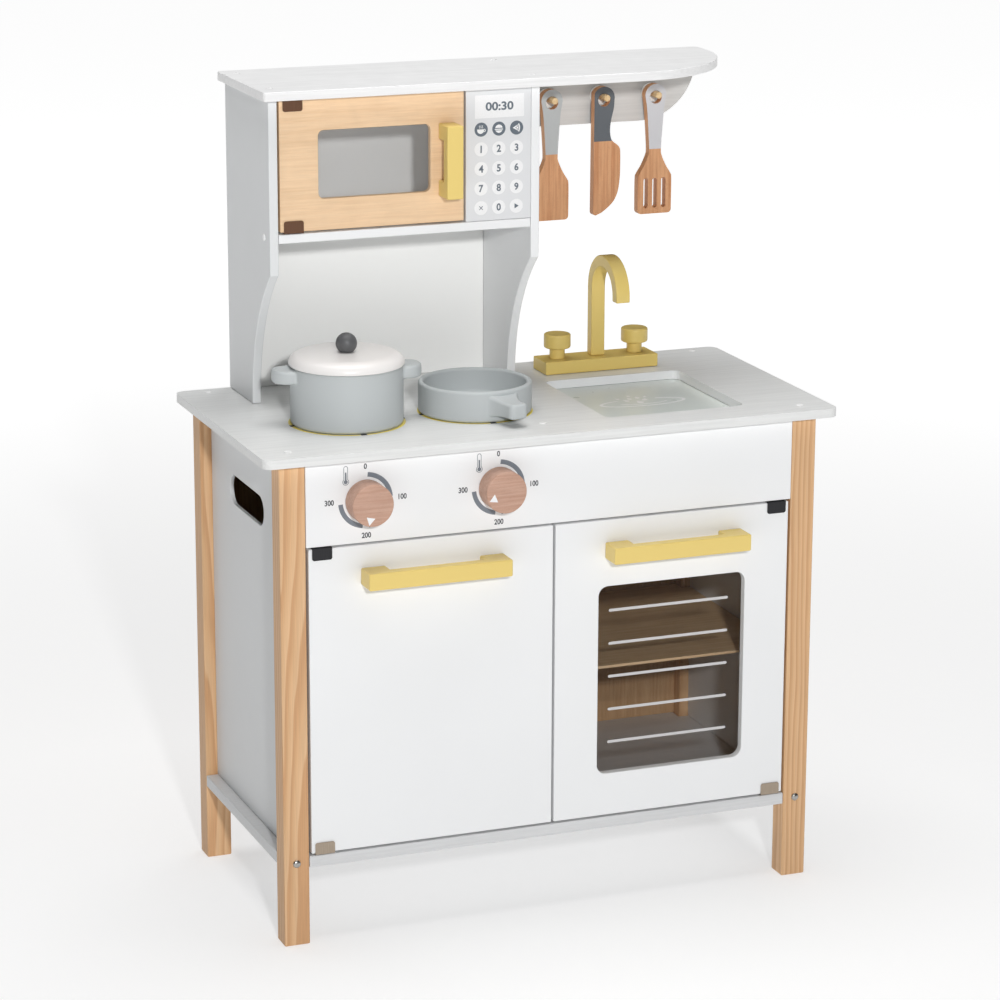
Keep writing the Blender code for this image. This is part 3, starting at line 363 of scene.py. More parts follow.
def thicken(solid, step):
    """A flat bmesh, extruded by a step."""
    grown = bmesh.ops.extrude_face_region(solid, geom=solid.faces[:])
    moved = [item for item in grown["geom"] if isinstance(item, bmesh.types.BMVert)]
    bmesh.ops.translate(solid, verts=moved, vec=step)
    bmesh.ops.recalc_face_normals(solid, faces=solid.faces)
    return solid


def prism(shapes, axis, start, end):
    """A bmesh of outlines extruded along an axis. Each shape is an outline and the holes through it."""
    first, second, along = AXES[axis]
    solid = bmesh.new()
    for outline, *holes in shapes:
        edges = []
        for loop in (outline, *holes):
            ring = []
            for point in loop:
                place = [0.0, 0.0, 0.0]
                place[first], place[second], place[along] = point[0], point[1], start
                ring.append(solid.verts.new(place))
            edges += [solid.edges.new((ring[i - 1], ring[i])) for i in range(len(ring))]
            if not holes:
                solid.faces.new(ring)
        if holes:
            bmesh.ops.triangle_fill(solid, use_beauty=True, use_dissolve=False, edges=edges)
    step = [0.0, 0.0, 0.0]
    step[along] = end - start
    return thicken(solid, step)


def block(low, high):
    return prism([[rectangle(low[:2], high[:2])]], "Z", low[2], high[2])


def turned(profile, place, axis="Z", sides=64):
    """A bmesh: a profile of (radius, height) turned about an axis. Its two ends are on the axis."""
    solid = bmesh.new()
    rings = []
    for radius, height in profile:
        if radius == 0:
            rings.append([solid.verts.new((0, 0, height))])
            continue
        ring = []
        for side in range(sides):
            angle = 2 * pi * side / sides
            ring.append(solid.verts.new((radius * cos(angle), radius * sin(angle), height)))
        rings.append(ring)
    for below, above in zip(rings, rings[1:]):
        for side in range(sides):
            after = (side + 1) % sides
            corners = [below[side % len(below)], below[after % len(below)],
                       above[after % len(above)], above[side % len(above)]]
            solid.faces.new(list(dict.fromkeys(corners)))
    turn = {"Z": Matrix.Identity(4), "Y": Matrix.Rotation(radians(90), 4, "X"),
            "X": Matrix.Rotation(radians(90), 4, "Y")}[axis]
    bmesh.ops.transform(solid, matrix=Matrix.Translation(place) @ turn, verts=solid.verts)
    bmesh.ops.recalc_face_normals(solid, faces=solid.faces)
    return solid


def drill(place, radius, depth, axis="Z", sides=24):
    """A cylinder to cut with, from a place along an axis by a depth, which may be negative."""
    first, second, along = AXES[axis]
    start = place[along]
    return prism([[circle((place[first], place[second]), radius, sides)]], axis, start, start + depth)


def loft(sections):
    """A closed bmesh through rings of points that all have the same count."""
    solid = bmesh.new()
    rings = [[solid.verts.new(point) for point in ring] for ring in sections]
    for below, above in zip(rings, rings[1:]):
        for side in range(len(below)):
            after = (side + 1) % len(below)
            solid.faces.new((below[side], below[after], above[after], above[side]))
    solid.faces.new(rings[0])
    solid.faces.new(rings[-1])
    bmesh.ops.recalc_face_normals(solid, faces=solid.faces)
    return solid


def show(made):
    bpy.context.scene.collection.objects.link(made)
    return made


def drawn(made):
    """A new mesh: an object as its modifiers or its font leave it."""
    return bpy.data.meshes.new_from_object(made.evaluated_get(bpy.context.evaluated_depsgraph_get()))


def bare(name, solid):
    """An object from a bmesh, which is used up."""
    mesh = bpy.data.meshes.new(name)
    solid.to_mesh(mesh)
    solid.free()
    return show(bpy.data.objects.new(name, mesh))


def piece(name, solid, look, body, nodes=(), edge=0.0, segments=3, cuts=(), adds=(), keeps=()):
    """A piece on a body. It is rounded at its edges first, and then joined, cut or kept inside other solids."""
    made = bare(name, solid)
    if edge:
        bevel = made.modifiers.new("edges", "BEVEL")
        bevel.width, bevel.segments = edge, segments
        bevel.limit_method, bevel.angle_limit = "ANGLE", radians(35)
    others = []
    for operation, solids in (("UNION", adds), ("DIFFERENCE", cuts), ("INTERSECT", keeps)):
        for other in solids:
            others.append(bare(name + "_tool", other))
            change = made.modifiers.new("change", "BOOLEAN")
            change.operation, change.object = operation, others[-1]
    mesh = drawn(made)
    made.modifiers.clear()
    made.data = mesh
    for other in others:
        bpy.data.objects.remove(other)
    mesh.shade_smooth()
    mesh.set_sharp_from_angle(angle=radians(38))
    mesh.materials.clear()
    mesh.materials.append(LOOKS[look])
    normals = made.modifiers.new("normals", "WEIGHTED_NORMAL")
    normals.keep_sharp = True
    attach(made, body)
    if nodes:
        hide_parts(*nodes)
    return made


def board(node, look, body, axis="Z", outline=None, holes=(), edge=1.0 * MM, cuts=(), segments=3):
    """A board in the place of a CAD node, from its box and, where it isn't a plain one, from an outline."""
    low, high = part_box(node)
    first, second, along = AXES[axis]
    if outline is None:
        outline = rectangle((low[first], low[second]), (high[first], high[second]))
    solid = prism([[outline, *holes]], axis, low[along], high[along])
    return piece("fine_" + node, solid, look, body, [node], edge, segments, cuts)


def middle(node):
    low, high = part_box(node)
    return (low + high) / 2


def joint(name):
    """A joint's place in the frame."""
    return Vector(next(item["pos_m"] for item in frame["joints"] if item["name"] == name))


def opening(name):
    """(lowest corner, highest corner) of an opening that the record states."""
    found = frame["record"]["physics"]["openings"]
    low, high = next(item["box_m"] for item in found if item["name"] == name)
    return Vector(low), Vector(high)


# ---- Cabinet ----
PIN_R = 2.0 * MM
PIN_HOLE = 8.0 * MM       # depth of a pin's hole
# Where a leg's heart line stands, in millimetres from the leg's middle, and how far it leans, in radians.
HEARTS = {"front_left": (6, 30), "front_right": (70, 46), "rear_left": (-20, 34), "rear_right": (26, 60)}
LEANS = {"front_left": (0.010, -0.030), "front_right": (0.0, 0.004), "rear_left": (0.006, 0.012),
         "rear_right": (0.0, 0.010)}


def legs():
    for place, heart in HEARTS.items():
        node = "leg_" + place
        centre = middle(node)
        look = "pine_" + place
        LOOKS[look] = pine(look, (centre.x + heart[0] * MM, centre.y + heart[1] * MM), LEANS[place])
        board(node, look, "cabinet", edge=1.5 * MM)


def cross_recess(place, radius, depth):
    """Two crossed tapering slots to cut into a screw's head, which faces -Y."""
    bars = []
    for turn in (0, 90):
        bar = loft([[(x * radius * size, 0, z * radius * 0.26) for x, z in ((-1, -1), (1, -1), (1, 1), (-1, 1))]
                    for size in (1.15, 0.55)])
        bar.verts.ensure_lookup_table()
        for vert in bar.verts[:4]:
            vert.co.y = -depth * 0.6
        for vert in bar.verts[4:]:
            vert.co.y = depth
        turning = Matrix.Translation(place) @ Matrix.Rotation(radians(turn + 20), 4, "Y")
        bmesh.ops.transform(bar, matrix=turning, verts=bar.verts)
        bars.append(bar)
    return bars


def leg_screws():
    """Pan-head screws with a cross recess."""
    for name in SIDES:
        node = "leg_screw_" + name
        low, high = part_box(node)
        radius = (high.x - low.x) / 2
        head = 2.1 * MM
        place = Vector((middle(node).x, low.y + head, middle(node).z))
        profile = [(0, -6 * MM), (radius / 2, -6 * MM), (radius / 2, 0)]
        profile += [(radius * x, head * z) for x, z in arc((0, 0), 1, 0, 80, 6)] + [(0, head)]
        recess = cross_recess(place - Vector((0, head, 0)), 2.3 * MM, 1.5 * MM)
        piece("fine_" + node, turned(profile, place, "Y", 32), "steel", "cabinet", [node], cuts=recess)


def pin_holes(names, end, sign):
    """Holes for the hinge pins of some joints, from the board's face at height end."""
    holes = []
    for name in names:
        place = joint(name).copy()
        place.z = end - sign * MM
        holes.append(drill(place, PIN_R + PLAY, sign * (PIN_HOLE + MM)))
    return holes


BOLT_R = 3.0 * MM         # the bolts that hold the oven knobs
DOOR_JOINTS = ("cupboard_door_hinge", "oven_door_hinge")
HAND_SLOT = (55 * MM, 15 * MM)      # half its length and half its height


def cabinet_boards():
    low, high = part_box("base_board")
    front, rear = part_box("leg_front_right"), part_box("leg_rear_right")
    inner, outer = front[0].x - TOUCH, high.x
    y0, y1 = front[1].y + TOUCH, rear[0].y - TOUCH
    outline = [(-inner, low.y), (inner, low.y), (inner, y0), (outer, y0), (outer, y1), (inner, y1),
               (inner, high.y), (-inner, high.y), (-inner, y1), (-outer, y1), (-outer, y0), (-inner, y0)]
    board("base_board", "base", "cabinet", "Z", outline, cuts=pin_holes(DOOR_JOINTS, high.z, -1))
    for name in SIDES:
        low, high = opening("hand_slot_" + name)
        slot = centred(((low + high) / 2).yz, HAND_SLOT, HAND_SLOT[1] - 0.1 * MM, 12)
        # The side panels take the darker white, as painted shade.
        board("side_panel_" + name, "side", "cabinet", "X", holes=[slot], edge=0.8 * MM)
    board("cabinet_back", "ply", "cabinet", "Y", edge=0.4 * MM, segments=2)
    board("centre_divider", "base", "cabinet", "X", edge=0.6 * MM)
    low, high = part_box("oven_shelf")
    notch = (rear[0].x - TOUCH, rear[0].y - TOUCH)
    outline = [(low.x, low.y), (high.x, low.y), (high.x, notch[1]), notch, (notch[0], high.y), (low.x, high.y)]
    board("oven_shelf", "shelf", "cabinet", "Z", outline, edge=0.6 * MM)
    for node in ("cupboard_catch", "oven_catch", "microwave_catch"):
        board(node, "plastic", "cabinet", edge=0.8 * MM)


def fascia():
    holes = pin_holes(DOOR_JOINTS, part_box("fascia")[0].z, 1)
    for name in SIDES:
        start = joint(f"oven_knob_{name}_turn") - Vector((0, MM, 0))
        holes.append(drill(start, BOLT_R + PLAY, 16 * MM, "Y", 32))
    board("fascia", "white", "cabinet", "Y", cuts=holes, edge=0.7 * MM)


# ---- What is printed ----
def printed(name, shapes, look, face, axis="Y", body="cabinet"):
    """Flat shapes printed on a face, at that place along the axis. They stand proud towards -Y or +Z."""
    side = -1 if axis == "Y" else 1
    piece(name, prism(shapes, axis, face + side * SUNK, face + side * PRINT), look, body)


LETTER_WEIGHT = 0.028      # how much the font's strokes are thickened


def lettering(name, words, look, face):
    """Generic figures printed on a face that looks to -Y. Each word is its text, middle, height and stretch."""
    solid = bmesh.new()
    for text, (x, z), height, stretch in words:
        curve = bpy.data.curves.new(name, "FONT")
        curve.body = text
        curve.resolution_u = 4
        curve.offset = LETTER_WEIGHT
        holder = show(bpy.data.objects.new(name + "_tool", curve))
        mesh = drawn(holder)
        bpy.data.objects.remove(holder)
        corners = [vert.co for vert in mesh.vertices]
        low = [min(corner[i] for corner in corners) for i in (0, 1)]
        high = [max(corner[i] for corner in corners) for i in (0, 1)]
        size = height / (high[1] - low[1])
        for vert in mesh.vertices:
            vert.co = ((vert.co.x - (low[0] + high[0]) / 2) * size * stretch + x, face - SUNK,
                       (vert.co.y - (low[1] + high[1]) / 2) * size + z)
        solid.from_mesh(mesh)
    bmesh.ops.remove_doubles(solid, verts=solid.verts, dist=0.001 * MM)
    piece(name, thicken(solid, (0, SUNK - PRINT, 0)), look, "cabinet")


DIAL_R = (23.0, 27.6)     # in millimetres from the knob's axis, like the rest of a dial
DIAL_ARCS = ((85, 4), (-5, -83), (-97, -175))
DIAL_FIGURES = (("0", 0, 33.5), ("100", 37.5, 0.4), ("200", 0.6, -34.7), ("300", -36.5, 0.4))
FIGURE_HEIGHT = 5.6 * MM
THERMOMETER = (-19.8, 19.6)                # middle of its bulb


def bulb_outline(bulb, stem, top):
    """A thermometer's outline: a round bulb with a round-topped stem that ends that far over its middle."""
    start = degrees(acos(stem / bulb))
    points = arc(THERMOMETER, bulb, start - 360 + 2 * (90 - start), start, 20)
    return points + arc((THERMOMETER[0], THERMOMETER[1] + top - stem), stem, 0, 180, 8)


def dials():
    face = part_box("fascia")[0].y
    rings = [[sector((0, 0), *DIAL_R, start, end)] for start, end in DIAL_ARCS]
    glass = [[bulb_outline(3.3, 2.2, 15.7), bulb_outline(2.7, 1.65, 15.1)]]
    filling = [[bulb_outline(2.0, 0.8, 9.5)]]
    hubs = [joint(f"oven_knob_{name}_turn").xz for name in SIDES]
    parts = {"dial_rings": rings, "thermometer_outlines": glass, "thermometer_fillings": filling}
    for name, shapes in parts.items():
        printed(name, [shape for hub in hubs for shape in placed(hub, shapes)], "ink_slate", face)
    words = [(text, (hub[0] + x * MM, hub[1] + z * MM), FIGURE_HEIGHT, 0.86) for hub in hubs
             for text, x, z in DIAL_FIGURES]
    lettering("dial_figures", words, "ink_dark", face)


# ---- Knobs, doors and handles ----
POINTERS = {"left": 257, "right": 202}     # where the printed triangle stands on each knob's face, in degrees
POINTER = (14.4, 5.1)                      # millimetres from the axis, and from its middle to its corners


def disc_profile(radius, low, high, rounding, steps=4):
    """A solid round block from low to high, with rounded rims."""
    points = [(0, low)]
    points += arc((radius - rounding, low + rounding), rounding, -90, 0, steps)
    points += arc((radius - rounding, high - rounding), rounding, 0, 90, steps)
    return points + [(0, high)]


def oven_knobs():
    for name in SIDES:
        body = node = "oven_knob_" + name
        low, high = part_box(node)
        hub = joint(body + "_turn")
        seat = Vector((hub.x, high.y, hub.z))
        bore = drill(seat + Vector((0, MM, 0)), BOLT_R + PLAY, -11.8 * MM, "Y", 32)
        solid = turned(disc_profile((high.x - low.x) / 2, 0, high.y - low.y, 1.3 * MM), seat, "Y", 96)
        piece("fine_" + node, solid, "knob", body, [node], cuts=[bore])
        pointer = placed(hub.xz, [[spun(arc((POINTER[0], 0), POINTER[1], 0, 240, 2), POINTERS[name])]])
        printed("knob_pointer_" + name, pointer, "ink_white", low.y, body=body)
        bolt = "knob_bolt_" + name
        low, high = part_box(bolt)
        head = 3 * MM
        profile = disc_profile((high.x - low.x) / 2, -head, 0, 0.5 * MM, 2)[:-1]
        end = high.y - low.y - head
        profile += [(BOLT_R, 0), (BOLT_R, end - 0.5 * MM), (BOLT_R - 0.5 * MM, end), (0, end)]
        piece("fine_" + bolt, turned(profile, Vector((hub.x, high.y - head, hub.z)), "Y", 48), "steel", body,
              [bolt])


def window_door(node, look, window, corner, rebate, body):
    """A door with a window. The rebate for the pane is cut behind it, as deep as the pane and its gaps need."""
    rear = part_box(node)[1].y
    low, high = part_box(window)
    left, right, bottom, top = low.x - TOUCH, high.x + TOUCH, low.z - TOUCH, high.z + TOUCH
    lap = 10 * MM
    seat = block((left, rear - rebate, bottom), (right, rear + MM, top))
    hole = rounded((left + lap, bottom + lap), (right - lap, top - lap), corner, 10)
    board(node, look, body, "Y", holes=[hole], cuts=[seat])


def handle(node, body, foot, upright):
    """A bar on two block feet, with softly rounded edges."""
    low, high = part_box(node)
    thick = 12 * MM
    start, end = (low.z, high.z) if upright else (low.x, high.x)
    inner = low.y + thick
    run = [(start, high.y), (start + foot, high.y), (start + foot, inner), (end - foot, inner),
           (end - foot, high.y), (end, high.y), (end, low.y), (start, low.y)]
    if upright:
        solid = prism([[[(y, z) for z, y in run]]], "X", low.x, high.x)
    else:
        solid = prism([[run]], "Z", low.z, high.z)
    piece("fine_" + node, solid, "yellow", body, [node], 1.6 * MM, 4)


def hinge(node, body, look, up):
    """A pivot hinge: a round-cornered leaf on the door's face, folded over its edge, with a pin."""
    low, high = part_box(node)
    leaf = 0.9 * MM
    free_end, pin_end = (high.z, low.z) if up < 0 else (low.z, high.z)
    outer_z = free_end + up * (11 * MM + TOUCH + leaf)
    inner_z = outer_z - up * leaf
    outline = [(low.y, free_end), (low.y + leaf, free_end), (low.y + leaf, inner_z), (high.y, inner_z),
               (high.y, outer_z), (low.y + 0.5 * leaf, outer_z), (low.y, outer_z - up * 0.5 * leaf)]
    ends = sorted((free_end, outer_z + up * 8 * MM))
    shape = prism([[rounded((low.x, ends[0]), (high.x, ends[1]), 2.2 * MM, 6)]], "Y", low.y - MM, high.y + MM)
    axis = joint(body + "_hinge")
    pin = drill((axis.x, axis.y, inner_z), PIN_R, pin_end - inner_z)
    solid = prism([[outline]], "X", low.x, high.x)
    piece("fine_" + node, solid, look, body, [node], keeps=[shape])
    piece(node + "_pin", pin, look, body, edge=0.3 * MM, segments=2)


def doors():
    board("cupboard_door", "white", "cupboard_door", "Y")
    window_door("oven_door", "white", "oven_window", 10 * MM, 4 * MM, "oven_door")
    window_door("microwave_door", "maple", "microwave_window", 6 * MM, 2.8 * MM, "microwave_door")
    board("oven_window", "smoked", "oven_door", "Y", edge=0.25 * MM, segments=1)
    # Its white film is painted reflection.
    board("microwave_window", "clear", "microwave_door", "Y", edge=0.25 * MM, segments=1)
    handle("cupboard_handle", "cupboard_door", 25 * MM, False)
    handle("oven_handle", "oven_door", 25 * MM, False)
    handle("microwave_handle", "microwave_door", 16 * MM, True)
    looks = {"cupboard": ("hinge_steel", "hinge_black"), "oven": ("hinge_steel", "hinge_black"),
             "microwave": ("hinge_brown", "hinge_brown")}
    for door, (lower, upper) in looks.items():
        hinge(door + "_hinge_lower", door + "_door", lower, -1)
        hinge(door + "_hinge_upper", door + "_door", upper, 1)


def oven_lines():
    """Five printed lines on the oven's pane, like the bars of a grille."""
    centre = middle("oven_window").xz
    half, pitch, lift = (65, 1.45), 34.4, 1.25
    lines = [[centred((0, lift + number * pitch), half, half[1], 5)] for number in range(-2, 3)]
    printed("oven_pane_lines", placed(centre, lines), "ink_line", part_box("oven_window")[0].y,
            body="oven_door")


# ---- Worktop, sink and tap ----
SINK_LAP = 10 * MM        # the tray reaches this far under the worktop
RING = (54.0, 57.6)       # radii in millimetres
RING_MARKS = (-5, 85, 178, 268)


def worktop():
    low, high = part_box("worktop")
    tray_low, tray_high = (corner.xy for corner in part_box("sink_tray"))
    lap = Vector((SINK_LAP, SINK_LAP))
    sink = rounded(tray_low + lap, tray_high - lap, 8 * MM)
    outline = rounded((low.x, low.y), (high.x, high.y), 10 * MM, 10)
    made = board("worktop", "worktop", "cabinet", "Z", outline, [sink], 1.8 * MM)
    made.data.materials.append(LOOKS["white"])
    for face in made.data.polygons:
        across, along = abs(face.center.x) < high.x - 3 * SINK_LAP, abs(face.center.y) < -low.y - SINK_LAP
        if across and along and abs(face.normal.z) < 0.3:
            face.material_index = 1
    board("sink_tray", "tray", "cabinet", edge=0.5 * MM)


def hob_rings():
    """Under the pot and the pan: a yellow ring with four black marks."""
    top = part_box("worktop")[1].z
    ends = zip(RING_MARKS, (*RING_MARKS[1:], RING_MARKS[0] + 360))
    arcs = [[sector((0, 0), *RING, start + 3.4, end - 3.4, 28)] for start, end in ends]
    marks = [[sector((0, 0), RING[0] - 0.6, RING[1] + 0.5, mark - 3, mark + 3, 4)] for mark in RING_MARKS]
    for name, shapes, look, slot in (("hob_rings", arcs, "ink_yellow", "yellow_paint"),
                                     ("hob_ring_marks", marks, "ink_black", "dark_grey")):
        both = [shape for place in (pot_place(), pan_place()) for shape in placed(place, shapes)]
        printed(name, both, look, top, "Z")


def drop_outline(x, y, size, lean):
    """A water drop: round below, drawn to a point above."""
    drop = spun(arc((0, 0), 1.0, 150, 390, 12) + [(0, 2.1)], lean)
    return placed((x, y), [[drop]], size)[0]


def splash():
    """Printed in the sink: two ripples round a splash of drops."""
    shapes = []
    for across, deep, wide, start, end in ((47, 15, 3.2, 120, 425), (27, 7.5, 2.4, 200, 352)):
        outer = [(x * across, y * deep) for x, y in arc((0, 0), 1, start, end, 48)]
        inner = [(x * (across - wide), y * (deep - 0.6 * wide)) for x, y in arc((0, 0), 1, end, start, 48)]
        shapes.append([outer + inner])
    shapes += [drop_outline(*drop) for drop in (
        (-2, 1, 3.6, 8), (-13, 10, 2.6, 30), (6, 9, 2.8, -24), (-7, 17, 2.2, 12), (2, 19, 2.4, -6),
        (-19, 20, 1.8, 36), (11, 21, 1.9, -30), (-4, 28, 1.7, 0))]
    printed("sink_splash", placed(middle("sink_tray"), shapes), "ink_white",
            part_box("sink_tray")[1].z, "Z")


def tap():
    board("tap_base", "yellow", "cabinet", edge=1.2 * MM, cuts=[
        drill(joint(f"tap_knob_{name}_turn") + Vector((0, 0, MM)), 4 * MM + PLAY, -11 * MM) for name in SIDES])
    for name in SIDES:
        body = node = "tap_knob_" + name
        low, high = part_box(node)
        seat = joint(body + "_turn")
        cap_r, neck_r, stem_r, stem = (high.x - low.x) / 2, 8 * MM, 4 * MM, 11.1 * MM
        profile = [(0, low.z - seat.z), (stem_r, low.z - seat.z), (stem_r, TOUCH), (neck_r, TOUCH), (neck_r, stem)]
        profile += disc_profile(cap_r, stem, high.z - seat.z, 2 * MM, 5)[1:]
        piece("fine_" + node, turned(profile, seat, "Z", 72), "yellow", body, [node])
    low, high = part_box("tap_spout")
    thick, outer = 12 * MM, 38.5 * MM
    inner = outer - thick
    y, z = high.y - outer, high.z - outer
    tip = z - 4.5 * MM
    outline = [(high.y, low.z)] + arc((y, z), outer, 0, 180, 40) + [(y - outer, tip), (y - inner, tip)]
    outline += arc((y, z), inner, 180, 0, 32) + [(y + inner, low.z)]
    solid = prism([[outline]], "X", low.x, high.x)
    piece("fine_tap_spout", solid, "yellow", "cabinet", ["tap_spout"], 1.3 * MM)


# ---- Hutch ----
HUTCH_FOOT = 77.5 * MM    # depth of the side panels where they stand on the worktop
HUTCH_KNEE = 142 * MM     # worktop to where their front edges start to curve back
HUTCH_CURVE = 181 * MM    # radius of that curve
SHELF_ROUND = 130 * MM    # radius of the top shelf's front right corner
RAIL_ROUND = 63.5 * MM    # radius of the hook rail's lower right corner


def hutch():
    low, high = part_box("hutch_side_left")
    foot_y = high.y - HUTCH_FOOT
    centre_y = foot_y - HUTCH_CURVE
    knee = degrees(acos(min(1.0, (low.y - centre_y) / HUTCH_CURVE)))
    knee_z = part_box("worktop")[1].z + HUTCH_KNEE
    centre_z = knee_z - HUTCH_CURVE * sin(radians(knee))
    outline = [(high.y, low.z), (high.y, high.z), (low.y, high.z)]
    outline += arc((centre_y, centre_z), HUTCH_CURVE, knee, 0, 28) + [(foot_y, low.z)]
    # The left side, seen from outside, takes the darker white as painted shade; the right one, seen from inside,
    # takes the plain white.
    for name, look in zip(SIDES, ("side", "white")):
        board("hutch_side_" + name, look, "cabinet", "X", outline)
    holes = pin_holes(["microwave_door_hinge"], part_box("microwave_shelf")[1].z, -1)
    board("microwave_shelf", "white", "cabinet", cuts=holes)
    # The back of the niche takes the lighter white, as painted light.
    board("hutch_back", "niche", "cabinet", "Y", edge=0.4 * MM)
    board("keypad_panel", "keypad", "cabinet", "Y", edge=0.6 * MM)
    low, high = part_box("top_shelf")
    left, right = 4 * MM, 8 * MM       # radii of its other corners
    outline = arc((low.x + left, low.y + left), left, 180, 270, 6)
    outline += arc((high.x - SHELF_ROUND, low.y + SHELF_ROUND), SHELF_ROUND, -90, 0, 40)
    outline += arc((high.x - right, high.y - right), right, 0, 90, 8)
    outline += arc((low.x + left, high.y - left), left, 90, 180, 6)
    seats = [drill(place + Vector((0, 0, MM)), CAP_R + 0.1 * MM, -MM - 1.2 * CAP_DEEP, "Z", 32)
             for place in shelf_cap_places()]
    board("top_shelf", "top", "cabinet", "Z", outline,
          cuts=[*seats, *pin_holes(["microwave_door_hinge"], low.z, 1)])
    low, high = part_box("hook_rail")
    outline = [(high.x, high.z), (low.x, high.z), (low.x, low.z)]
    outline += arc((high.x - RAIL_ROUND, low.z + RAIL_ROUND), RAIL_ROUND, -90, 0, 30)
    board("hook_rail", "rail", "cabinet", "Y", outline, edge=0.6 * MM)


KEY_PITCH = (18.75, 19.55)     # millimetres, like the rest of the keypad
KEY_R = 7


def cup_icon():
    """A steaming cup."""
    bowl = [(-4.2, 0.3), *arc((-0.6, -0.6), 3.6, 195, 345, 10), (3.0, 0.3)]
    ear = sector((3.2, -0.9), 0.8, 1.6, -110, 100, 8)
    steam = []
    for x in (-1.6, 0, 1.6):
        line = smooth([(x - 0.6, 1.2), (x - 0.1, 2.2), (x - 0.7, 3.1), (x - 0.2, 4.2)], 3)
        steam.append([line + [(a + 0.55, b) for a, b in reversed(line)]])
    return [[bowl], [ear], *steam]


def bun_icon():
    """A filled bun: a round top, a filling and a base."""
    base = [(-3.9, -1.7), *arc((0, -0.6), 3.6, 215, 325, 8), (3.9, -1.7)]
    return [[arc((0, 0.2), 3.9, 8, 172, 12)], [centred((0, -0.6), (4.4, 0.5), 0.5, 3)], [base]]


def slice_icon():
    """A slice of pizza with three round toppings."""
    point = (-4.2, 0)
    dots = [circle(dot, 0.6, 12) for dot in ((-0.6, 0.0), (0.6, 1.4), (0.6, -1.4))]
    return [[sector(point, 6.6, 7.9, -32, 32, 8)], [[point, *arc(point, 6.0, -30, 30, 8)], *dots]]


def keypad():
    """Display, icons and keys, drawn from the top of the panel. The lowest row has a cross, 0 and an arrow."""
    low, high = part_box("keypad_panel")
    face = low.y
    lifted = face - PRINT
    home = ((low.x + high.x) / 2 + 0.3 * MM, high.z)
    places = [(x * KEY_PITCH[0], -41.3 - z * KEY_PITCH[1]) for z in range(5) for x in (-1, 0, 1)]
    centres = [placed(home, [[[place]]])[0][0][0] for place in places]
    display = [[rounded((-25.3, -30.2), (26.5, -7.4), 0.6, 3)]]
    discs = [[circle(place, KEY_R)] for place in places]
    icons = []
    for centre, draw in zip(centres, (cup_icon, bun_icon, slice_icon)):
        icons += placed(centre, draw())
    printed("keypad_display", placed(home, display), "ink_white", face)
    printed("keypad_keys", placed(home, discs[3:]), "ink_white", face)
    printed("keypad_icon_discs", placed(home, discs[:3]), "ink_icon", face)
    printed("keypad_icons", icons, "ink_white", lifted)
    figures = [(text, centre, 7.4 * MM, 0.95) for text, centre in zip("123456789", centres[3:])]
    figures.append(("0", centres[-2], 7.4 * MM, 0.95))
    figures.append(("00:30", (home[0] + 0.6 * MM, home[1] - 18.8 * MM), 8.6 * MM, 1.17))
    lettering("keypad_figures", figures, "ink_icon", lifted)
    for name, shape, centre, lift in (
            ("clear_sign_a", spun(rectangle((-2.6, -0.35), (2.6, 0.35)), 45), centres[-3], 0),
            ("clear_sign_b", spun(rectangle((-2.6, -0.35), (2.6, 0.35)), 135), centres[-3], 0.02 * MM),
            ("start_sign", arc((-0.4, 0), 3.0, 0, 240, 2), centres[-1], 0)):
        printed("keypad_" + name, placed(centre, [[shape]]), "ink_icon", lifted - lift)


CAP_R = 3.5 * MM
CAP_DEEP = 0.9 * MM


def cap_profile(lift):
    """A screw cap that stands that much out of its board."""
    return [(0, lift - CAP_DEEP), (CAP_R, lift - CAP_DEEP), (CAP_R, lift - 0.3 * MM),
            (0.8 * CAP_R, lift - 0.08 * MM), (0, lift)]


def shelf_cap_places():
    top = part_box("top_shelf")[1].z
    return [Vector((middle(node).x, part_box(node)[0].y + step * MM, top))
            for node in ("hutch_side_left", "hutch_side_right") for step in (9, 116)]


def screw_caps():
    """Plastic caps over the screws that hold the legs, the divider and the hutch."""
    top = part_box("worktop")[1].z
    places = [Vector((middle("leg_" + place).x, middle("leg_" + place).y, top)) for place in HEARTS]
    places.append(Vector((0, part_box("fascia")[0].y + 32 * MM, top)))
    for number, place in enumerate(places):
        solid = turned(cap_profile(CAP_DEEP + 0.05 * MM), place, "Z", 32)
        piece(f"screw_cap_{number + 1}", solid, "cap", "cabinet")
    for number, place in enumerate(shelf_cap_places()):
        solid = turned(cap_profile(-0.05 * MM), place, "Z", 32)
        piece(f"screw_cap_shelf_{number + 1}", solid, "cap", "cabinet")
    for name, side in zip(SIDES, (-1, 1)):
        low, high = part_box("hutch_side_" + name)
        place = Vector((low.x if side < 0 else high.x, low.y + 17.5 * MM, middle("microwave_shelf").z))
        out = [(radius, side * height) for radius, height in cap_profile(CAP_DEEP + 0.05 * MM)]
        piece(f"screw_cap_side_{name}", turned(out, place, "X", 32), "cap", "cabinet")


NAIL_HEAD = [(0, 0.05 * MM), (1.9 * MM, 0.05 * MM), (1.7 * MM, -0.35 * MM), (0.9 * MM, -0.65 * MM), (0, -0.7 * MM)]


def back_nails():
    """Small round heads along the edges of the two back panels."""
    inset = 7 * MM
    for node in ("cabinet_back", "hutch_back"):
        low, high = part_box(node)
        columns = [low.x + inset, (low.x + high.x) / 2, high.x - inset]
        rows = [low.z + inset + (high.z - low.z - 2 * inset) * share / 3 for share in range(4)]
        solid = bmesh.new()
        for x in columns:
            for z in rows:
                if x == columns[1] and z in rows[1:-1]:
                    continue
                head = turned(NAIL_HEAD, Vector((x, high.y, z)), "Y", 20)
                mesh = bpy.data.meshes.new("nail_tool")
                head.to_mesh(mesh)
                head.free()
                solid.from_mesh(mesh)
        piece(node + "_nails", solid, "steel", "cabinet")


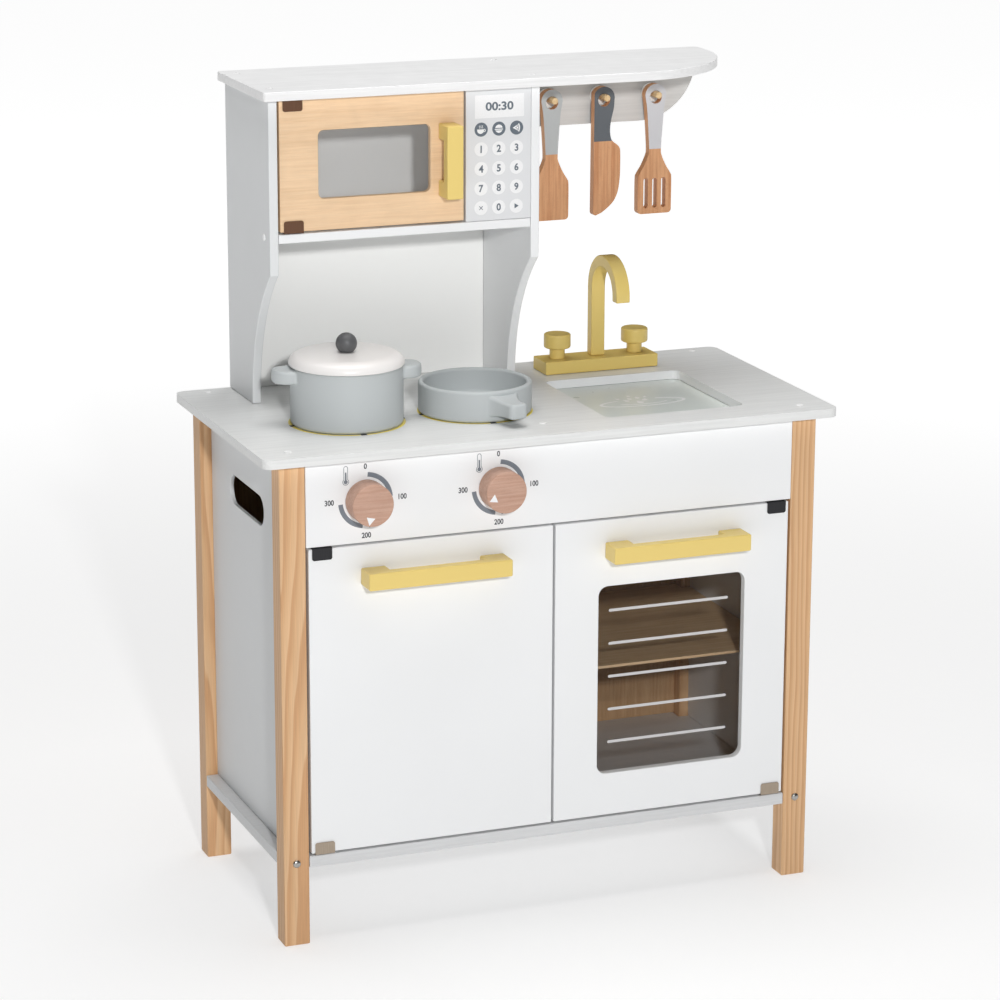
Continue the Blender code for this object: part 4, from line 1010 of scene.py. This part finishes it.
# ---- Pegs and utensils ----
HOLE_R = 6.75             # millimetres, like the rest of the utensils' outlines
HEAD_R = 11.8
UTENSILS = {     # its peg, its grip's paint and where that ends, from the head's middle
    "spatula": ("left", "grip_grey", -55.3), "knife": ("middle", "grip_dark", -44.8),
    "turner": ("right", "grip_light", -56.0)}


def pegs():
    for name in ("left", "middle", "right"):
        node = "hook_peg_" + name
        low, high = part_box(node)
        place = Vector((middle(node).x, high.y, middle(node).z))
        flange_r, peg_r, tip = (high.x - low.x) / 2, 3.5 * MM, high.y - low.y
        flange = disc_profile(flange_r, 0, 3 * MM, 0.9 * MM)
        # The rosette's brighter white is partly painted light.
        piece(f"peg_rosette_{name}", turned(flange, place, "Y", 48), "rosette", "cabinet")
        dowel = [(0, 2.5 * MM), (peg_r, 2.5 * MM)] + arc((peg_r - 1.6 * MM, tip - 1.6 * MM), 1.6 * MM, 0, 80, 5)
        dowel.append((0, tip))
        piece("fine_" + node, turned(dowel, place, "Y", 40), "dowel", "cabinet", [node])


def blade_outline():
    """A head round the hang hole, a waisted handle that flares to a straight blade, the same on both sides."""
    side = [(11.1, -4.0), (9.6, -14.0), (8.0, -34.0), (6.7, -56.0), (7.6, -63.0), (12.6, -74.0), (17.6, -82.0),
            (19.0, -88.0), (19.0, -119.0)]
    right = arc((0, 0), HEAD_R, 90, -10, 16)[:-1] + smooth(side) + arc((15.0, -120.0), 4.0, 0, -90, 6)
    return right + [(-x, z) for x, z in reversed(right[1:])]


def knife_outline():
    """A straight back on the left. On the right a waisted grip, a heel and a belly that sweeps to the tip."""
    waist = [(11.4, -3.5), (10.8, -11.5), (8.4, -21.5), (6.9, -32.0), (7.8, -41.0), (10.2, -45.4)]
    blade = [(15.0, -49.0), (17.9, -52.6), (18.7, -58.0), (18.8, -72.0), (18.4, -84.0), (16.9, -95.5),
             (14.7, -102.5), (10.7, -109.2), (3.4, -115.8), (-2.5, -119.8)]
    tip = arc((-8.3, -119.0), 3.0, -90, -180, 6)
    return arc((0, 0), HEAD_R, 155, -8, 20)[:-1] + smooth(waist + blade) + tip


def utensils():
    slots = [rounded((x - 2.5, -118.0), (x + 2.5, -86.5), 2.4, 6) for x in (-10, 0, 10)]
    hole = circle((0, -2), HOLE_R)
    shapes = {"spatula": [blade_outline(), hole], "knife": [knife_outline(), hole],
              "turner": [blade_outline(), hole, *slots]}
    for name, (side, look, end) in UTENSILS.items():
        node = "toy_" + name
        low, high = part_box(node)
        centre = Vector((middle("hook_peg_" + side).x, 0, high.z - HEAD_R * MM))
        solid = prism(placed((0, 0), [shapes[name]]), "Y", low.y, high.y)
        bmesh.ops.translate(solid, verts=solid.verts, vec=centre)
        made = piece("fine_" + node, solid, "beech", name, [node], 1.1 * MM)
        paint_grip(made, look, centre.z + end * MM)


def paint_grip(made, look, bottom):
    """The flat faces above a height take the grip's paint. The narrow sides stay bare wood."""
    made.data.materials.append(LOOKS[look])
    shape = bmesh.new()
    shape.from_mesh(made.data)
    bmesh.ops.bisect_plane(shape, geom=[*shape.verts, *shape.edges, *shape.faces], dist=1e-7,
                           plane_co=(0, 0, bottom), plane_no=(0, 0, 1))
    for face in shape.faces:
        if face.calc_center_median().z > bottom and abs(face.normal.y) > 0.6:
            face.material_index = 1
    shape.to_mesh(made.data)
    shape.free()


# ---- Pot, lid and pan ----
POT_R, POT_WALL = 55.5 * MM, 5 * MM
PAN_R, PAN_WALL = 56.5 * MM, 5.7 * MM
POT_TURN, PAN_TURN = radians(-7), radians(-80)     # where a grip points, from +X
LID_PEG_R = 3 * MM


def pot_place():
    return Vector((*middle("pot")[:2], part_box("pot")[0].z))


def pan_place():
    low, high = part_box("pan")
    return Vector((middle("pan").x, high.y - PAN_R, low.z))


def cup_profile(radius, height, wall, floor, foot, steps=6):
    """A round pan: up its outside, over its rim and down to the middle of its floor."""
    points = [(0, 0)]
    points += arc((radius - foot, foot), foot, -90, 0, steps)
    points += arc((radius - wall / 2, height - wall / 2), wall / 2, 0, 180, 10)
    inner = radius - wall
    points += arc((inner - foot, floor + foot), foot, 0, -90, steps)
    return points + [(0, floor)]


def grip(place, turn, radius, wall, reach, half, low, high, corner, spread, flare):
    """A grip that grows out of a round wall. flare is how far it widens at its root: sideways, down and up."""
    edge = 3.4 * MM
    start = sqrt(radius ** 2 - (half + flare[0]) ** 2)
    stations = [(radius - 0.75 * wall - MM, 1.0)]
    for angle in range(0, 91, 6):
        along = start + spread * (1 - cos(radians(angle)))
        stations.append((along, 1 - sin(radians(angle))))
    stations += [(reach - corner + corner * sin(radians(angle)), 0.0) for angle in range(0, 88, 6)]
    sections = []
    for along, grow in sorted(stations):
        from_tip = reach - along
        width, thin = half, 0.0
        if from_tip < corner:
            width = half - corner + sqrt(corner ** 2 - (corner - from_tip) ** 2)
        if from_tip < edge:
            thin = edge - sqrt(edge ** 2 - (edge - from_tip) ** 2)
        ring = rounded((-width - flare[0] * grow, low + thin - flare[1] * grow),
                       (width + flare[0] * grow, high - thin + flare[2] * grow), min(edge, 0.95 * width), 6)
        sections.append([(along, y, z) for y, z in ring])
    solid = loft(sections)
    setting = Matrix.Translation(place) @ Matrix.Rotation(turn, 4, "Z")
    bmesh.ops.transform(solid, matrix=setting, verts=solid.verts)
    return solid


def pot():
    place = pot_place()
    low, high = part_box("pot")
    height = high.z - low.z
    top = height - 2 * MM
    ears = [grip(place, POT_TURN + turn, POT_R, POT_WALL, 74.5 * MM, 17 * MM, top - 13 * MM, top, 17 * MM,
                 4 * MM, (1.5 * MM, 2 * MM, 0.3 * MM)) for turn in (0, pi)]
    cup = turned(cup_profile(POT_R, height, POT_WALL, 6 * MM, 3 * MM), place, "Z", 128)
    piece("fine_pot", cup, "pot", "pot", ["pot"], adds=ears)


def pot_lid():
    """The lid plugs into the pot. Its ball stands on its flat top."""
    low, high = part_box("pot_lid")
    place = Vector((*middle("pot_lid")[:2], low.z))
    radius, plug, flat, lip = (high.x - low.x) / 2, 3 * MM, 43 * MM, 1.2 * MM
    plug_r = POT_R - POT_WALL - 0.9 * MM
    top = high.z - low.z
    curve = plug + 1.4 * MM            # height at which its top starts to round over
    profile = [(0, 0), (plug_r - MM, 0), (plug_r, MM), (plug_r, plug), (radius - lip, plug)]
    profile += arc((radius - lip, plug + lip), lip, -60, 0, 3)
    profile += [(flat + (radius - flat) * x, curve + (top - curve) * z) for x, z in arc((0, 0), 1, 6, 90, 14)]
    profile.append((0, top))
    bore = drill(place + Vector((0, 0, top + MM)), LID_PEG_R + PLAY, -9 * MM)
    piece("fine_pot_lid", turned(profile, place, "Z", 128), "lid", "pot_lid", ["pot_lid"], cuts=[bore])
    low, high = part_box("pot_lid_knob")
    ball = (high.x - low.x) / 2
    seat = 6.5 * MM
    centre = high.z - ball - place.z
    start = degrees(asin(-sqrt(1 - (seat / ball) ** 2)))
    foot = centre + ball * sin(radians(start))
    profile = [(0, low.z - place.z), (LID_PEG_R, low.z - place.z), (LID_PEG_R, foot)]
    profile += arc((0, centre), ball, start, 86, 24) + [(0, centre + ball)]
    piece("fine_pot_lid_knob", turned(profile, place, "Z", 64), "dark", "pot_lid", ["pot_lid_knob"])


def pan():
    place = pan_place()
    low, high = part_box("pan")
    bar = grip(place, PAN_TURN, PAN_R, PAN_WALL, 86 * MM, 10 * MM, 8 * MM, 23 * MM, 6 * MM,
               25 * MM, (11 * MM, 4 * MM, 7.2 * MM))
    cup = turned(cup_profile(PAN_R, high.z - low.z, PAN_WALL, 6 * MM, 3 * MM), place, "Z", 128)
    piece("fine_pan", cup, "pot", "pan", ["pan"], adds=[bar])


# ---- Studio ----
def area_light(name, place, aim, width, height, power):
    lamp = bpy.data.lights.new(name, "AREA")
    lamp.shape, lamp.size, lamp.size_y, lamp.energy = "RECTANGLE", width, height, power
    made = show(bpy.data.objects.new(name, lamp))
    made.location = place
    made.rotation_euler = (Vector(aim) - Vector(place)).to_track_quat("-Z", "Y").to_euler()


def floor_look():
    """A plain pale floor. It glows a little, and more so far away, so that it stays as pale to the horizon."""
    white, grey = (1.0, 1.0, 1.0, 1.0), (0.5, 0.5, 0.5, 1.0)
    graph = Graph("studio_floor", Base_Color=grey, Roughness=0.9, Emission_Color=white)
    far = graph.add("VectorMath", {0: graph.place()}, operation="LENGTH").outputs["Value"]
    spread = {"Value": far, "From Min": 0.6, "From Max": 3.2, "To Min": 0.50, "To Max": 0.93}
    glow = graph.add("MapRange", spread, interpolation_type="SMOOTHSTEP")
    graph.link(graph.shader.inputs["Emission Strength"], glow.outputs["Result"])
    return graph.material


def studio():
    floor_mesh = bpy.data.meshes.new("floor")
    reach = 30.0
    corners = rectangle((-reach, -reach), (reach, reach))
    floor_mesh.from_pydata([(*corner, 0) for corner in corners], [], [(0, 1, 2, 3)])
    floor = show(bpy.data.objects.new("floor", floor_mesh))
    floor_mesh.materials.append(floor_look())
    world = bpy.data.worlds.new("studio")
    bpy.context.scene.world = world
    world.use_nodes = True
    world.node_tree.nodes["Background"].inputs["Color"].default_value = (1.0, 1.0, 1.0, 1.0)
    world.node_tree.nodes["Background"].inputs["Strength"].default_value = 0.06
    area_light("key", (-0.83, -3.34, 1.63), (0.0, 0.0, 0.5), 0.16, 0.16, 61)
    area_light("overhead", (0.0, 0.2, 3.2), (0.0, 0.0, 0.4), 2.2, 2.2, 74)
    bpy.context.scene.view_settings.view_transform = "Standard"


CAMERA_PLACE = (-1.2608, -3.2037, 1.3294)
CAMERA_TURNS = ((-21.38, "Z"), (90 - 15.21, "X"), (0.19, "Z"))     # from looking down: azimuth, height, roll


def camera():
    lens = bpy.data.cameras.new("camera")
    lens.sensor_width = 36.0
    lens.lens = 127.15
    made = show(bpy.data.objects.new("camera", lens))
    made.location = CAMERA_PLACE
    turn = Matrix.Identity(3)
    for angle, axis in CAMERA_TURNS:
        turn = turn @ Matrix.Rotation(radians(angle), 3, axis)
    made.rotation_euler = turn.to_euler()
    bpy.context.scene.camera = made


for make in (camera, studio, legs, leg_screws, cabinet_boards, fascia, dials, oven_knobs, doors, oven_lines, worktop,
             hob_rings, splash, tap, hutch, keypad, screw_caps, back_nails, pegs, utensils, pot, pot_lid, pan):
    make()
